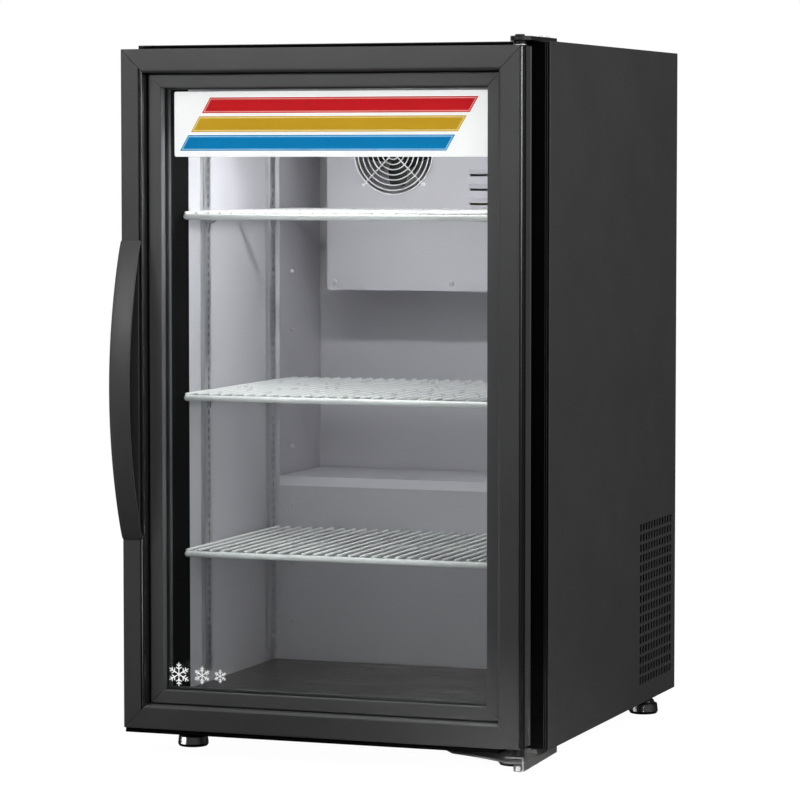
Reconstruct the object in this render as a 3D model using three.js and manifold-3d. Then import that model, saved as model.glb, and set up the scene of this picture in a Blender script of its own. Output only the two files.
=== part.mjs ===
// Countertop glass-door refrigerator: an insulated steel case with a machine compartment at its lower rear,
// three wire shelves, and a double-glazed door that swings on pins at its right-hand edge.
// Millimetres, +Z up. The door faces -Y and is hinged at +X. The origin is under the whole object's middle.
import * as THREE from "three";
import { mergeVertices } from "three/addons/utils/BufferGeometryUtils.js";
import Module from "manifold-3d";

// Driving dimensions. Y is counted from the front face of the case.
const CASE = { halfWidth: 310, depth: 650, bottom: 30, top: 1015, skin: 1.2, flange: 26, rearFlange: 18 };
const CAVITY = { halfWidth: 262, floor: 80, ceiling: 965, back: 600, linerStart: 70, liner: 1.5 };
const STEP = { riser: 403, top: 363, chamfer: 13 };
const COMPARTMENT = { front: 443, top: 325 };
const DOOR = { left: -308, right: 290, bottom: 39, top: 1008, front: -66, thickness: 50 };
const GLASS = { edge: 40, thickness: 4, outerDepth: 19, innerDepth: 37 };
const BEAD = { edge: 35.5, width: 19.5, depth: 16 };
const HINGE = { x: 280, y: -44, pinRadius: 5, holeRadius: 5.6 };
const BRACKET = { low: 19.5, high: 22.5, front: -68, rear: 83, edge: 296 };
const HANDLE = { bottom: 311, top: 737, width: 31, bow: 46, strap: 3, wall: 2.5 };
const SHELF_HEIGHTS = { upper: 770, middle: 508, lower: 281.5 };
const SHELF = { halfWidth: 254, front: 30, rail: 9, wire: 4, pitch: 18, heights: SHELF_HEIGHTS };
const SHELF_REAR = { upper: 470, middle: 470, lower: 395 };
const STANDARD = { depth: 6, width: 22, bottom: 100, top: 925, frontY: 126, rearY: 380, clip: 12 };
const EVAPORATOR = { halfWidth: 205, front: 482, bottom: 650, top: 950, sheet: 1.5 };
const EVAPORATOR_FAN = { x: -95, z: 862, radius: 58, bladeY: 502, motorY: 516 };
const KNOB = { x: 150, z: 700 };
const SWITCH = { x: 100, z: 700 };
const CONDENSER_FAN = { y: 545, z: 175, radius: 67, bladeX: 180, motorX: 150 };
const FEET = { frontX: 246, frontY: 42, rearX: 284, rearY: 565, radius: 22.5, disc: 22, stem: 6, top: 44 };
const REAR_MOST = 658;
const FRONT_MOST = DOOR.front - HANDLE.bow;
const GAP = 0.3; // running and assembly gap between neighbouring pieces

const wasm = await Module();
wasm.setup();

// ---- Solids -------------------------------------------------------------------------------------------

function solid(geometry) {
  const bare = (geometry.index ? geometry.toNonIndexed() : geometry.clone());
  bare.deleteAttribute("normal");
  bare.deleteAttribute("uv");
  const merged = mergeVertices(bare, 1e-3);
  const triVerts = new Uint32Array(merged.index.array);
  const make = () => new wasm.Manifold(
    new wasm.Mesh({ numProp: 3, vertProperties: merged.attributes.position.array, triVerts }),
  );
  const made = make();
  if (made.volume() > 0) return made;
  triVerts.reverse(); // a mirrored outline faces inwards until its triangles are turned round
  return make();
}

function join(...pieces) {
  return pieces.reduce((whole, piece) => whole.add(piece));
}

function cut(body, ...tools) {
  return tools.reduce((rest, tool) => rest.subtract(tool), body);
}

function block([x0, x1], [y0, y1], [z0, z1]) {
  const box = new THREE.BoxGeometry(Math.abs(x1 - x0), Math.abs(y1 - y0), Math.abs(z1 - z0));
  return solid(box.translate((x0 + x1) / 2, (y0 + y1) / 2, (z0 + z1) / 2));
}

// Turns local +Z to the named axis, so that an outline's points are (y, z), (x, z) or (x, y).
function lay(geometry, axis) {
  const turn = new THREE.Matrix4();
  if (axis === "x") turn.set(0, 0, 1, 0, 1, 0, 0, 0, 0, 1, 0, 0, 0, 0, 0, 1);
  if (axis === "y") turn.set(1, 0, 0, 0, 0, 0, 1, 0, 0, 1, 0, 0, 0, 0, 0, 1);
  return geometry.applyMatrix4(turn);
}

function outline(points) {
  return new THREE.Shape(points.map(([a, b]) => new THREE.Vector2(a, b)));
}

function prism(shape, axis, from, to, curveSegments = 12) {
  const drawn = Array.isArray(shape) ? outline(shape) : shape;
  const geometry = new THREE.ExtrudeGeometry(drawn, { depth: to - from, bevelEnabled: false, curveSegments });
  return solid(lay(geometry.translate(0, 0, from), axis));
}

function cylinder(axis, [a, b], radius, from, to, sides = 24) {
  const disc = Array.from({ length: sides }, (_, i) => {
    const angle = ((i + 0.5) / sides) * 2 * Math.PI;
    return [a + radius * Math.cos(angle), b + radius * Math.sin(angle)];
  });
  return prism(disc, axis, from, to);
}

// A turned piece: [radius, height] points from one end of the axis to the other.
function turned(profile, axis, [a, b], sides = 24) {
  const points = profile.map(([radius, height]) => new THREE.Vector2(radius, height));
  const geometry = new THREE.LatheGeometry(points, sides).rotateX(Math.PI / 2).translate(a, b, 0);
  return solid(lay(geometry, axis));
}

function rectangle([a0, a1], [b0, b1]) {
  return [[a0, b0], [a1, b0], [a1, b1], [a0, b1]];
}

function ring(outer, inner, from, to) {
  const shape = outline(rectangle(...outer));
  shape.holes.push(outline(rectangle(...inner).reverse()));
  return prism(shape, "y", from, to);
}

// ---- Scene graph --------------------------------------------------------------------------------------

const FINISH = {
  blackCoat: { color: 0x3a3a3a, roughness: 0.5, metalness: 0.1 },
  blackTrim: { color: 0x141414, roughness: 0.6, metalness: 0 },
  whiteLiner: { color: 0xd8d7d8, roughness: 0.45, metalness: 0 },
  whiteCoat: { color: 0xeeeeee, roughness: 0.4, metalness: 0 },
  steel: { color: 0xa9adb0, roughness: 0.35, metalness: 0.9 },
  aluminium: { color: 0xb9bcbf, roughness: 0.35, metalness: 0.9 },
  foam: { color: 0xe0cf9a, roughness: 0.9, metalness: 0 },
  glass: { color: 0xdfe8e8, roughness: 0.05, metalness: 0, transparent: true, opacity: 0.3 },
  sign: { color: 0xf4f4f4, roughness: 0.3, metalness: 0 },
  rubber: { color: 0x0d0d0d, roughness: 0.85, metalness: 0 },
  lens: { color: 0xf8f8f2, roughness: 0.3, metalness: 0 },
};

const object = new THREE.Group();
object.position.y = -(FRONT_MOST + REAR_MOST) / 2;
const cabinet = new THREE.Group();
const door = new THREE.Group();
const shelves = new THREE.Group();
const feet = new THREE.Group();
object.add(cabinet, door, shelves, feet);

function place(group, name, piece, finish) {
  const { vertProperties, triVerts, numProp } = piece.getMesh();
  const positions = new Float32Array((vertProperties.length / numProp) * 3);
  for (let i = 0; i < positions.length / 3; i++) {
    positions.set(vertProperties.subarray(i * numProp, i * numProp + 3), i * 3);
  }
  const geometry = new THREE.BufferGeometry();
  geometry.setAttribute("position", new THREE.BufferAttribute(positions, 3));
  geometry.setIndex(new THREE.BufferAttribute(triVerts, 1));
  geometry.computeVertexNormals();
  const mesh = new THREE.Mesh(geometry, new THREE.MeshStandardMaterial(FINISH[finish]));
  mesh.name = name;
  group.add(mesh);
}

const SIDES = [["left", -1], ["right", 1]];

// ---- Outer case ---------------------------------------------------------------------------------------

function sidePanel(side) {
  const { halfWidth: w, depth, skin, flange, rearFlange, bottom, top } = CASE;
  const channel = [
    [w - flange, 0], [w, 0], [w, depth], [w - rearFlange, depth],
    [w - rearFlange, depth - skin], [w - skin, depth - skin], [w - skin, skin], [w - flange, skin],
  ];
  return prism(channel.map(([x, y]) => [side * x, y]), "z", bottom, top);
}

const flangeSpan = CASE.halfWidth - CASE.flange - GAP;
const skinSpan = CASE.halfWidth - CASE.skin - GAP;

function topPanel() {
  const { depth, skin, top, flange } = CASE;
  const sheet = block([-skinSpan, skinSpan], [skin + GAP, depth - skin - GAP], [top - skin, top]);
  const lip = block([-flangeSpan, flangeSpan], [0, skin + 2 * GAP], [top - skin, top]);
  return join(sheet, lip, block([-flangeSpan, flangeSpan], [0, skin], [top - flange, top]));
}

function basePlate() {
  const { depth, skin, bottom } = CASE;
  const sheet = block([-skinSpan, skinSpan], [skin + GAP, depth - skin - GAP], [bottom, bottom + 1.5]);
  const lip = block([-flangeSpan, flangeSpan], [0, skin + 2 * GAP], [bottom, bottom + 1.5]);
  const flange = block([-flangeSpan, flangeSpan], [0, skin], [bottom, bottom + CASE.flange]);
  const stems = footPlaces().map(([, x, y]) => cylinder("z", [x, y], FEET.stem + 1, bottom - 5, bottom + 5));
  return cut(join(sheet, lip, flange), ...stems);
}

function rearPanel() {
  const face = CASE.depth - CASE.skin - GAP;
  const levels = [COMPARTMENT.top + 2, CASE.top - CASE.skin - GAP];
  return block([-skinSpan, skinSpan], [face - CASE.skin, face], levels);
}

function rearGrille() {
  const face = CASE.depth + GAP;
  const slots = [];
  for (let row = 0; row < 9; row++) {
    for (const side of [-1, 1]) {
      const z = 105 + row * 22;
      slots.push(block([side * 20, side * 250], [face - 5, face + 5], [z, z + 9]));
    }
  }
  return cut(block([-295, 295], [face, face + 1.5], [36, 330]), ...slots);
}

// ---- Insulation, liner and machine compartment walls --------------------------------------------------

// The cavity's side outline, offset outwards by `out`, from the given front plane.
function cavityOutline(front, out) {
  const { floor, ceiling, back } = CAVITY;
  const { riser, top, chamfer } = STEP;
  const bend = out * Math.tan(Math.PI / 8);
  return [
    [front, floor - out], [riser + out, floor - out], [riser + out, top - chamfer - bend],
    [riser + chamfer + bend, top - out], [back + out, top - out], [back + out, ceiling + out],
    [front, ceiling + out],
  ];
}

function foamInsulation() {
  const { depth, skin, bottom, top } = CASE;
  const out = CAVITY.liner + GAP;
  const rear = depth - 2 * skin - 3 * GAP;
  const whole = block([-skinSpan, skinSpan], [2 + GAP, rear], [bottom + 1.5 + GAP, top - skin - GAP]);
  const half = CAVITY.halfWidth + out;
  const cavity = prism(cavityOutline(-10, out), "x", -half, half);
  const machines = block([-400, 400], [COMPARTMENT.front, depth + 10], [0, COMPARTMENT.top]);
  const frontFeet = footPlaces().slice(0, 2);
  const stems = frontFeet.map(([, x, y]) => cylinder("z", [x, y], FEET.stem + 2, 20, FEET.top + 2));
  return cut(whole, cavity, machines, ...stems);
}

function sideLiner(side) {
  const inner = side * CAVITY.halfWidth;
  const outer = side * (CAVITY.halfWidth + CAVITY.liner);
  const shape = cavityOutline(CAVITY.linerStart + GAP, -GAP);
  return prism(shape, "x", Math.min(inner, outer), Math.max(inner, outer));
}

function rearLiner() {
  const half = CAVITY.halfWidth - GAP;
  const inside = cavityOutline(0, 0).slice(1, 6);
  const outside = cavityOutline(0, CAVITY.liner).slice(1, 6);
  outside[0][1] = CAVITY.floor;
  outside[4][1] = CAVITY.ceiling;
  inside[0][1] = CAVITY.floor;
  const sheet = prism([...inside, ...outside.reverse()], "x", -half, half);
  const above = block([-400, 400], [0, 700], [CAVITY.ceiling - GAP, CAVITY.ceiling + 10]);
  const below = block([-400, 400], [0, 700], [0, CAVITY.floor + GAP]);
  return cut(sheet, above, below);
}

function linerSheet(rear, z0, z1) {
  const half = CAVITY.halfWidth - GAP;
  return block([-half, half], [CAVITY.linerStart + GAP, rear], [z0, z1]);
}

// The black plastic frame round the mouth: a flat face between the case flanges and the liner, and a return.
function breakerFrame() {
  const { floor, ceiling, halfWidth, linerStart } = CAVITY;
  const proud = 1.5;
  const low = CASE.bottom + CASE.flange + GAP;
  const high = CASE.top - CASE.flange - GAP;
  const mouth = [[proud - halfWidth, halfWidth - proud], [floor + proud, ceiling - proud]];
  const face = ring([[-flangeSpan, flangeSpan], [low, high]], mouth, 0, 2);
  const wrap = ring([[-halfWidth, halfWidth], [floor, ceiling]], mouth, 1, linerStart);
  return join(face, wrap);
}

function compartmentBulkhead() {
  const half = skinSpan - 2;
  const y = COMPARTMENT.front + GAP;
  const z = COMPARTMENT.top - GAP;
  const wall = block([-half, half], [y, y + 1], [CASE.bottom + 2, z]);
  return join(wall, block([-half, half], [y, CASE.depth - 5], [z - 1, z]));
}

// ---- Shelf standards and clips, and the shelves -------------------------------------------------------

function shelfStandard(side, y) {
  const wall = CAVITY.halfWidth - GAP;
  const face = wall - STANDARD.depth;
  const half = STANDARD.width / 2;
  const channel = [
    [wall, y - half], [face, y - half], [face, y + half], [wall, y + half],
    [wall, y + half - 1.5], [face + 1.5, y + half - 1.5],
    [face + 1.5, y - half + 1.5], [wall, y - half + 1.5],
  ];
  const rail = prism(channel.map(([x, v]) => [side * x, v]), "z", STANDARD.bottom, STANDARD.top);
  const clips = Object.values(SHELF.heights).map((height) => {
    const seat = height - SHELF.rail / 2 - GAP;
    const tip = face - STANDARD.clip;
    const hook = [[face + 0.5, seat - 16], [face + 0.5, seat], [tip, seat], [tip, seat - 5]];
    return prism(hook.map(([x, z]) => [side * x, z]), "y", y - 8, y + 8);
  });
  return join(rail, ...clips);
}

// A coated wire shelf: square-section rails under a deck of wires that run from front to rear.
function wireShelf(name) {
  const { halfWidth: w, front, rail, wire, pitch, heights } = SHELF;
  const rear = SHELF_REAR[name];
  const low = heights[name] - rail / 2;
  const high = heights[name] + rail / 2;
  const crossings = [front, (front + rear - rail) / 2, rear - rail];
  const pieces = crossings.map((y) => block([-w, w], [y, y + rail], [low, high]));
  for (const side of [-1, 1]) {
    pieces.push(block([side * w, side * (w - rail)], [front + 1, rear - 1], [low, high]));
  }
  const count = Math.floor((2 * w - rail) / pitch);
  for (let i = 0; i <= count; i++) {
    const x = (i - count / 2) * pitch;
    pieces.push(block([x - wire / 2, x + wire / 2], [front + 2, rear - 2], [high - 1, high - 1 + wire]));
  }
  return join(...pieces);
}

// ---- Evaporator, lamp and controls --------------------------------------------------------------------

function evaporatorCover() {
  const { halfWidth: w, front, bottom, top, sheet } = EVAPORATOR;
  const back = CAVITY.back - GAP;
  const box = block([-w, w], [front, back], [bottom, top]);
  const hollow = block([sheet - w, w - sheet], [front + sheet, back + 5], [bottom + sheet, top - sheet]);
  const { x, z, radius } = EVAPORATOR_FAN;
  const mouth = cylinder("y", [x, z], radius + 5, front - 5, front + 5, 32);
  const intake = [760, 782, 804, 826].map((low) => block([30, 180], [front - 5, front + 5], [low, low + 8]));
  const outlet = block([-180, 180], [front + 20, front + 80], [bottom - 5, bottom + 5]);
  const shaft = cylinder("y", [KNOB.x, KNOB.z], 4, front - 5, front + 5, 16);
  const window = block([SWITCH.x - 7, SWITCH.x + 7], [front - 5, front + 5], [SWITCH.z - 12, SWITCH.z + 12]);
  return cut(box, hollow, mouth, ...intake, outlet, shaft, window);
}

function evaporatorCoil() {
  const core = block([20, 190], [500, 580], [760, 930]);
  const bends = [0, 1, 2, 3].map((i) => block([12, 198], [515, 525], [775 + i * 38, 785 + i * 38]));
  return join(core, ...bends);
}

// Hub, paddles and the shaft that runs back to the motor along local -Z.
function fanBlade(count, radius, hub, chord, thickness, shaft) {
  const paddles = Array.from({ length: count }, (_, i) => {
    const paddle = new THREE.BoxGeometry(radius - hub + 4, chord, thickness);
    paddle.translate((radius + hub - 4) / 2, 0, 0).rotateX(0.5).rotateZ((i / count) * 2 * Math.PI);
    return paddle;
  });
  const core = new THREE.CylinderGeometry(hub, hub, chord * 0.6, 16).rotateX(Math.PI / 2);
  const axle = new THREE.CylinderGeometry(4, 4, shaft, 12).rotateX(Math.PI / 2).translate(0, 0, -shaft / 2);
  return [core, axle, ...paddles];
}

function evaporatorFanBlade() {
  const { x, z, radius, bladeY, motorY } = EVAPORATOR_FAN;
  const pieces = fanBlade(4, radius - 4, 13, 34, 1.6, motorY - bladeY - GAP);
  return join(...pieces.map((piece) => solid(piece.rotateX(Math.PI / 2).translate(x, bladeY, z))));
}

function evaporatorFanMotor() {
  const { x, z, motorY: y } = EVAPORATOR_FAN;
  const can = cylinder("y", [x, z], 24, y, y + 38);
  return join(can, block([x - 60, x + 60], [y + 30, y + 34], [z - 8, z + 8]));
}

function lampHousing() {
  return cut(
    prism([[76, 964], [76, 934], [88, 926], [124, 926], [130, 964]], "x", -215, 215),
    block([-205, 205], [90, 122], [920, 932]),
  );
}

function lampLens() {
  return block([-204, 204], [91, 121], [922, 931]);
}

function thermostatKnob() {
  const y = EVAPORATOR.front;
  const skirt = turned(
    [[0, y - 22], [15, y - 22], [17, y - 20], [20, y - 0.7], [3, y - 0.7], [3, y + 8], [0, y + 8]],
    "y", [KNOB.x, KNOB.z],
  );
  return join(skirt, block([KNOB.x - 3, KNOB.x + 3], [y - 26, y - 20], [KNOB.z - 15, KNOB.z + 15]));
}

function lightSwitch() {
  const y = EVAPORATOR.front;
  const face = [[y - 1, SWITCH.z - 11], [y - 5, SWITCH.z + 11]];
  const rocker = [...face, [y + 8, SWITCH.z + 9], [y + 8, SWITCH.z - 9]];
  return prism(rocker, "x", SWITCH.x - 6, SWITCH.x + 6);
}

// ---- Condensing unit ----------------------------------------------------------------------------------

function compressor() {
  const z = CASE.bottom + 12;
  const can = turned(
    [[0, z], [52, z], [66, z + 10], [70, z + 30], [70, z + 105], [62, z + 135], [40, z + 152], [0, z + 156]],
    "z", [-150, 545], 28,
  );
  const plate = block([-235, -65], [490, 600], [CASE.bottom + 2, z + 2]);
  return join(can, plate, block([-88, -62], [530, 560], [z + 60, z + 100]));
}

function condenserCoil() {
  const core = block([225, 275], [468, 622], [70, 280]);
  const bends = [0, 1, 2, 3, 4].map((i) => block([235, 265], [460, 630], [85 + i * 42, 94 + i * 42]));
  return join(core, block([225, 275], [475, 615], [CASE.bottom + 2, 72]), ...bends);
}

function condenserFanShroud() {
  const { y, z, radius } = CONDENSER_FAN;
  const plate = block([208, 222], [468, 622], [CASE.bottom + 2, 280]);
  const mouth = cylinder("x", [y, z], radius + 5, 200, 230, 32);
  return cut(plate, mouth);
}

function condenserFanBlade() {
  const { y, z, radius, bladeX, motorX } = CONDENSER_FAN;
  const pieces = fanBlade(5, radius - 4, 20, 44, 1.6, bladeX - motorX - GAP);
  return join(...pieces.map((piece) => solid(piece.rotateY(Math.PI / 2).translate(bladeX, y, z))));
}

function condenserFanMotor() {
  const { y, z, motorX } = CONDENSER_FAN;
  const can = cylinder("x", [y, z], 38, motorX - 52, motorX);
  return join(can, block([110, 140], [y - 30, y + 30], [CASE.bottom + 2, z]));
}

function electricalBox() {
  return block([-290, -245], [CASE.depth - 80, CASE.depth - 4], [60, 150]);
}

// A recessed three-pin inlet in a flanged housing on the rear grille.
function cordInlet() {
  const face = CASE.depth + GAP + 1.5 + GAP;
  const flange = block([-292, -243], [face, REAR_MOST], [62, 92]);
  return cut(flange, block([-283, -252], [face + 2, REAR_MOST + 5], [68, 86]));
}

// ---- Hinges -------------------------------------------------------------------------------------------

// A flat plate with a rounded nose round the pin and a straight outer edge.
function hingeOutline(tail, rear) {
  const { x, y } = HINGE;
  const nose = 13;
  const edge = 296;
  const shape = new THREE.Shape();
  shape.moveTo(edge, rear);
  shape.lineTo(tail, rear);
  shape.lineTo(tail, -1);
  shape.quadraticCurveTo(x - nose, y + 22, x - nose, y);
  shape.absarc(x, y, nose, Math.PI, 1.75 * Math.PI, false);
  shape.lineTo(edge, y);
  shape.closePath();
  return shape;
}

function pinHole(z0, z1) {
  return cylinder("z", [HINGE.x, HINGE.y], HINGE.holeRadius, z0, z1, 16);
}

function topHingePlate() {
  const low = CASE.top + GAP;
  return cut(prism(hingeOutline(252, 74), "z", low, low + 5.5), pinHole(low - 5, low + 15));
}

function bottomHingeBracket() {
  const { low, high, front, rear, edge } = BRACKET;
  const shape = new THREE.Shape();
  shape.moveTo(edge, front);
  shape.lineTo(edge, rear);
  shape.lineTo(150, rear);
  shape.lineTo(134, 40);
  shape.lineTo(172, -12);
  shape.quadraticCurveTo(232, -36, 262, -60);
  shape.lineTo(268, front);
  shape.closePath();
  const plate = cut(prism(shape, "z", low, high, 8), pinHole(low - 5, high + 5));
  const cheek = [[front, low - 9.5], [front, high], [rear, high], [rear, low - 5.5]];
  const flange = prism(cheek, "x", edge - 3, edge);
  const spacer = block([200, 290], [8, 66], [high - 1, CASE.bottom - GAP]);
  const footRoom = cylinder("z", [FEET.frontX, FEET.frontY], FEET.radius + 3, 0, CASE.bottom, 24);
  return cut(join(plate, flange, spacer), footRoom);
}

const washer = 9;

function topHingePin() {
  const r = HINGE.pinRadius;
  const plate = CASE.top + GAP;
  const profile = [
    [0, 985], [r, 985], [r, DOOR.top + GAP], [washer, DOOR.top + GAP],
    [washer, plate - GAP], [r, plate - GAP],
    [r, plate + 5.8], [r + 2, plate + 5.8], [r + 1.5, plate + 8], [0, plate + 8],
  ];
  return turned(profile, "z", [HINGE.x, HINGE.y], 16);
}

function bottomHingePin() {
  const r = HINGE.pinRadius;
  const profile = [
    [0, 6], [r + 2, 6], [r + 2, BRACKET.low - GAP], [r, BRACKET.low - GAP], [r, BRACKET.high + GAP],
    [washer, BRACKET.high + GAP], [washer, DOOR.bottom - GAP], [r, DOOR.bottom - GAP], [r, 60], [0, 60],
  ];
  return turned(profile, "z", [HINGE.x, HINGE.y], 16);
}

// ---- Door ---------------------------------------------------------------------------------------------

// A straight frame member with mitred ends. Section points are [distance in from the door's edge, depth].
function mitred(section, side) {
  const { left, right, bottom, top, front } = DOOR;
  const trim = 0.2;
  const geometry = new THREE.ExtrudeGeometry(outline(section), { depth: 1, bevelEnabled: false });
  const points = geometry.attributes.position;
  for (let i = 0; i < points.count; i++) {
    const inset = points.getX(i);
    const end = points.getZ(i);
    const alongX = THREE.MathUtils.lerp(left + inset + trim, right - inset - trim, end);
    const alongZ = THREE.MathUtils.lerp(bottom + inset + trim, top - inset - trim, end);
    const x = { left: left + inset, right: right - inset, bottom: alongX, top: alongX }[side];
    const z = { left: alongZ, right: alongZ, bottom: bottom + inset, top: top - inset }[side];
    points.setXYZ(i, x, front + points.getY(i), z);
  }
  return solid(geometry);
}

// Hollow frame section: flat outer band, bevel into the glass recess, and a lip behind the inner pane.
const wall = 2.5;
const back = DOOR.thickness;
const RAIL = [
  [0, 0], [30, 0], [34, 4], [34, 16], [31.5, 16], [31.5, 5], [29, wall], [wall, wall], [wall, back - wall],
  [54.5, back - wall], [54.5, 41.5], [57, 41.5], [57, back], [0, back],
];
const BEAD_SECTION = [
  [BEAD.edge, BEAD.depth], [BEAD.edge + BEAD.width, BEAD.depth], [BEAD.edge + BEAD.width, BEAD.depth + 2.7],
  [BEAD.edge + 2.5, BEAD.depth + 2.7], [BEAD.edge + 2.5, BEAD.depth + 15], [BEAD.edge, BEAD.depth + 15],
];

function inset(amount) {
  return [[DOOR.left + amount, DOOR.right - amount], [DOOR.bottom + amount, DOOR.top - amount]];
}

function pane(depth) {
  const [acrossX, acrossZ] = inset(GLASS.edge);
  return block(acrossX, [DOOR.front + depth, DOOR.front + depth + GLASS.thickness], acrossZ);
}

function glassSpacer() {
  const from = DOOR.front + GLASS.outerDepth + GLASS.thickness + GAP;
  return ring(inset(44), inset(53), from, DOOR.front + GLASS.innerDepth - GAP);
}

function headerPanel() {
  const rear = DOOR.front + GLASS.innerDepth - GAP;
  return block([-240, 233], [rear - 1.7, rear], [856, 948]);
}

function doorGasket() {
  const outer = [[-277, 277], [65, 980]];
  const inner = [[-264, 264], [78, 967]];
  return ring(outer, inner, DOOR.front + DOOR.thickness + GAP, -GAP);
}

// A bowed strap closed by a wall on its outer side, so that fingers reach in from the glass side.
function doorHandle() {
  const { bottom, top, width, bow, strap, wall: side } = HANDLE;
  const base = DOOR.front - GAP;
  const middle = (bottom + top) / 2;
  const half = (top - bottom) / 2;
  const steps = 28;
  const arc = (proud) => Array.from({ length: steps + 1 }, (_, i) => {
    const t = (i / steps) * 2 - 1;
    const rise = Math.pow(Math.cos((t * Math.PI) / 2), 0.8);
    return [base - 1.5 - rise * (proud - 1.5 - GAP), middle + t * half];
  });
  const outer = arc(bow);
  const inner = arc(bow - strap).slice(1, -1).reverse();
  const root = 9; // height of the solid foot at each end of the bow
  const strapOutline = [
    [base, bottom], ...outer, [base, top], [base, top - root], ...inner, [base, bottom + root],
  ];
  const cheek = prism([[base, bottom], ...outer, [base, top]], "x", DOOR.left, DOOR.left + side);
  return join(cheek, prism(strapOutline, "x", DOOR.left, DOOR.left + width));
}

function torsionCloser() {
  return cylinder("z", [HINGE.x, HINGE.y], 7, 62, 262, 16);
}

// ---- Feet ---------------------------------------------------------------------------------------------

function footPlaces() {
  const { frontX, frontY, rearX, rearY } = FEET;
  return [
    ["front_left", -frontX, frontY], ["front_right", frontX, frontY],
    ["rear_left", -rearX, rearY], ["rear_right", rearX, rearY],
  ];
}

function levellingFoot(x, y) {
  const { radius: r, disc, stem, top } = FEET;
  const profile = [
    [0, 0], [r - 2, 0], [r, 2], [r, disc - 8], [r - 4, disc - 6], [r - 6, disc], [stem, disc + 1],
    [stem, top], [0, top],
  ];
  return turned(profile, "z", [x, y], 24);
}

// ---- Assembly -----------------------------------------------------------------------------------------

for (const [name, side] of SIDES) {
  place(cabinet, name + "_side_panel", sidePanel(side), "blackCoat");
  place(cabinet, name + "_liner", sideLiner(side), "whiteLiner");
  place(cabinet, name + "_front_standard", shelfStandard(side, STANDARD.frontY), "aluminium");
  place(cabinet, name + "_rear_standard", shelfStandard(side, STANDARD.rearY), "aluminium");
}
place(cabinet, "top_panel", topPanel(), "blackCoat");
place(cabinet, "base_plate", basePlate(), "steel");
place(cabinet, "rear_panel", rearPanel(), "steel");
place(cabinet, "rear_grille", rearGrille(), "blackCoat");
place(cabinet, "foam_insulation", foamInsulation(), "foam");
place(cabinet, "rear_liner", rearLiner(), "whiteLiner");
const ceilingSheet = linerSheet(CAVITY.back, CAVITY.ceiling, CAVITY.ceiling + CAVITY.liner);
place(cabinet, "ceiling_liner", ceilingSheet, "whiteLiner");
place(cabinet, "floor_pan", linerSheet(STEP.riser, CAVITY.floor - CAVITY.liner, CAVITY.floor), "steel");
place(cabinet, "breaker_frame", breakerFrame(), "blackTrim");
place(cabinet, "compartment_bulkhead", compartmentBulkhead(), "steel");
place(cabinet, "evaporator_cover", evaporatorCover(), "whiteLiner");
place(cabinet, "evaporator_coil", evaporatorCoil(), "aluminium");
place(cabinet, "evaporator_fan_motor", evaporatorFanMotor(), "blackTrim");
place(cabinet, "evaporator_fan_blade", evaporatorFanBlade(), "blackTrim");
place(cabinet, "lamp_housing", lampHousing(), "whiteLiner");
place(cabinet, "lamp_lens", lampLens(), "lens");
place(cabinet, "thermostat_knob", thermostatKnob(), "blackTrim");
place(cabinet, "light_switch", lightSwitch(), "blackTrim");
place(cabinet, "compressor", compressor(), "blackTrim");
place(cabinet, "condenser_coil", condenserCoil(), "aluminium");
place(cabinet, "condenser_fan_shroud", condenserFanShroud(), "steel");
place(cabinet, "condenser_fan_motor", condenserFanMotor(), "steel");
place(cabinet, "condenser_fan_blade", condenserFanBlade(), "aluminium");
place(cabinet, "electrical_box", electricalBox(), "blackTrim");
place(cabinet, "cord_inlet", cordInlet(), "blackTrim");
place(cabinet, "top_hinge_plate", topHingePlate(), "blackCoat");
place(cabinet, "top_hinge_pin", topHingePin(), "steel");
place(cabinet, "bottom_hinge_bracket", bottomHingeBracket(), "blackCoat");
place(cabinet, "bottom_hinge_pin", bottomHingePin(), "steel");

for (const side of ["left", "right", "top", "bottom"]) {
  const rail = mitred(RAIL, side);
  const drilled = { top: pinHole(980, DOOR.top + 5), bottom: pinHole(DOOR.bottom - 5, 65) }[side];
  place(door, "door_" + side + "_rail", drilled ? cut(rail, drilled) : rail, "blackCoat");
  place(door, side + "_glass_bead", mitred(BEAD_SECTION, side), "blackCoat");
}
place(door, "outer_glass", pane(GLASS.outerDepth), "glass");
place(door, "inner_glass", pane(GLASS.innerDepth), "glass");
place(door, "glass_spacer", glassSpacer(), "aluminium");
place(door, "header_panel", headerPanel(), "sign");
place(door, "door_gasket", doorGasket(), "rubber");
place(door, "door_handle", doorHandle(), "blackCoat");
place(door, "torsion_closer", torsionCloser(), "steel");

for (const name of Object.keys(SHELF.heights)) {
  place(shelves, name + "_shelf", wireShelf(name), "whiteCoat");
}
for (const [name, x, y] of footPlaces()) {
  place(feet, name + "_foot", levellingFoot(x, y), "rubber");
}

export default object;
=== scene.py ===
"""Countertop glass-door refrigerator: the detailed look of each piece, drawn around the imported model.

Shapes are drawn in case millimetres: x across, y back from the case's front face, z up from the floor.
"""
import math
from itertools import product

import bmesh
import bpy
from mathutils import Matrix, Vector


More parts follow.
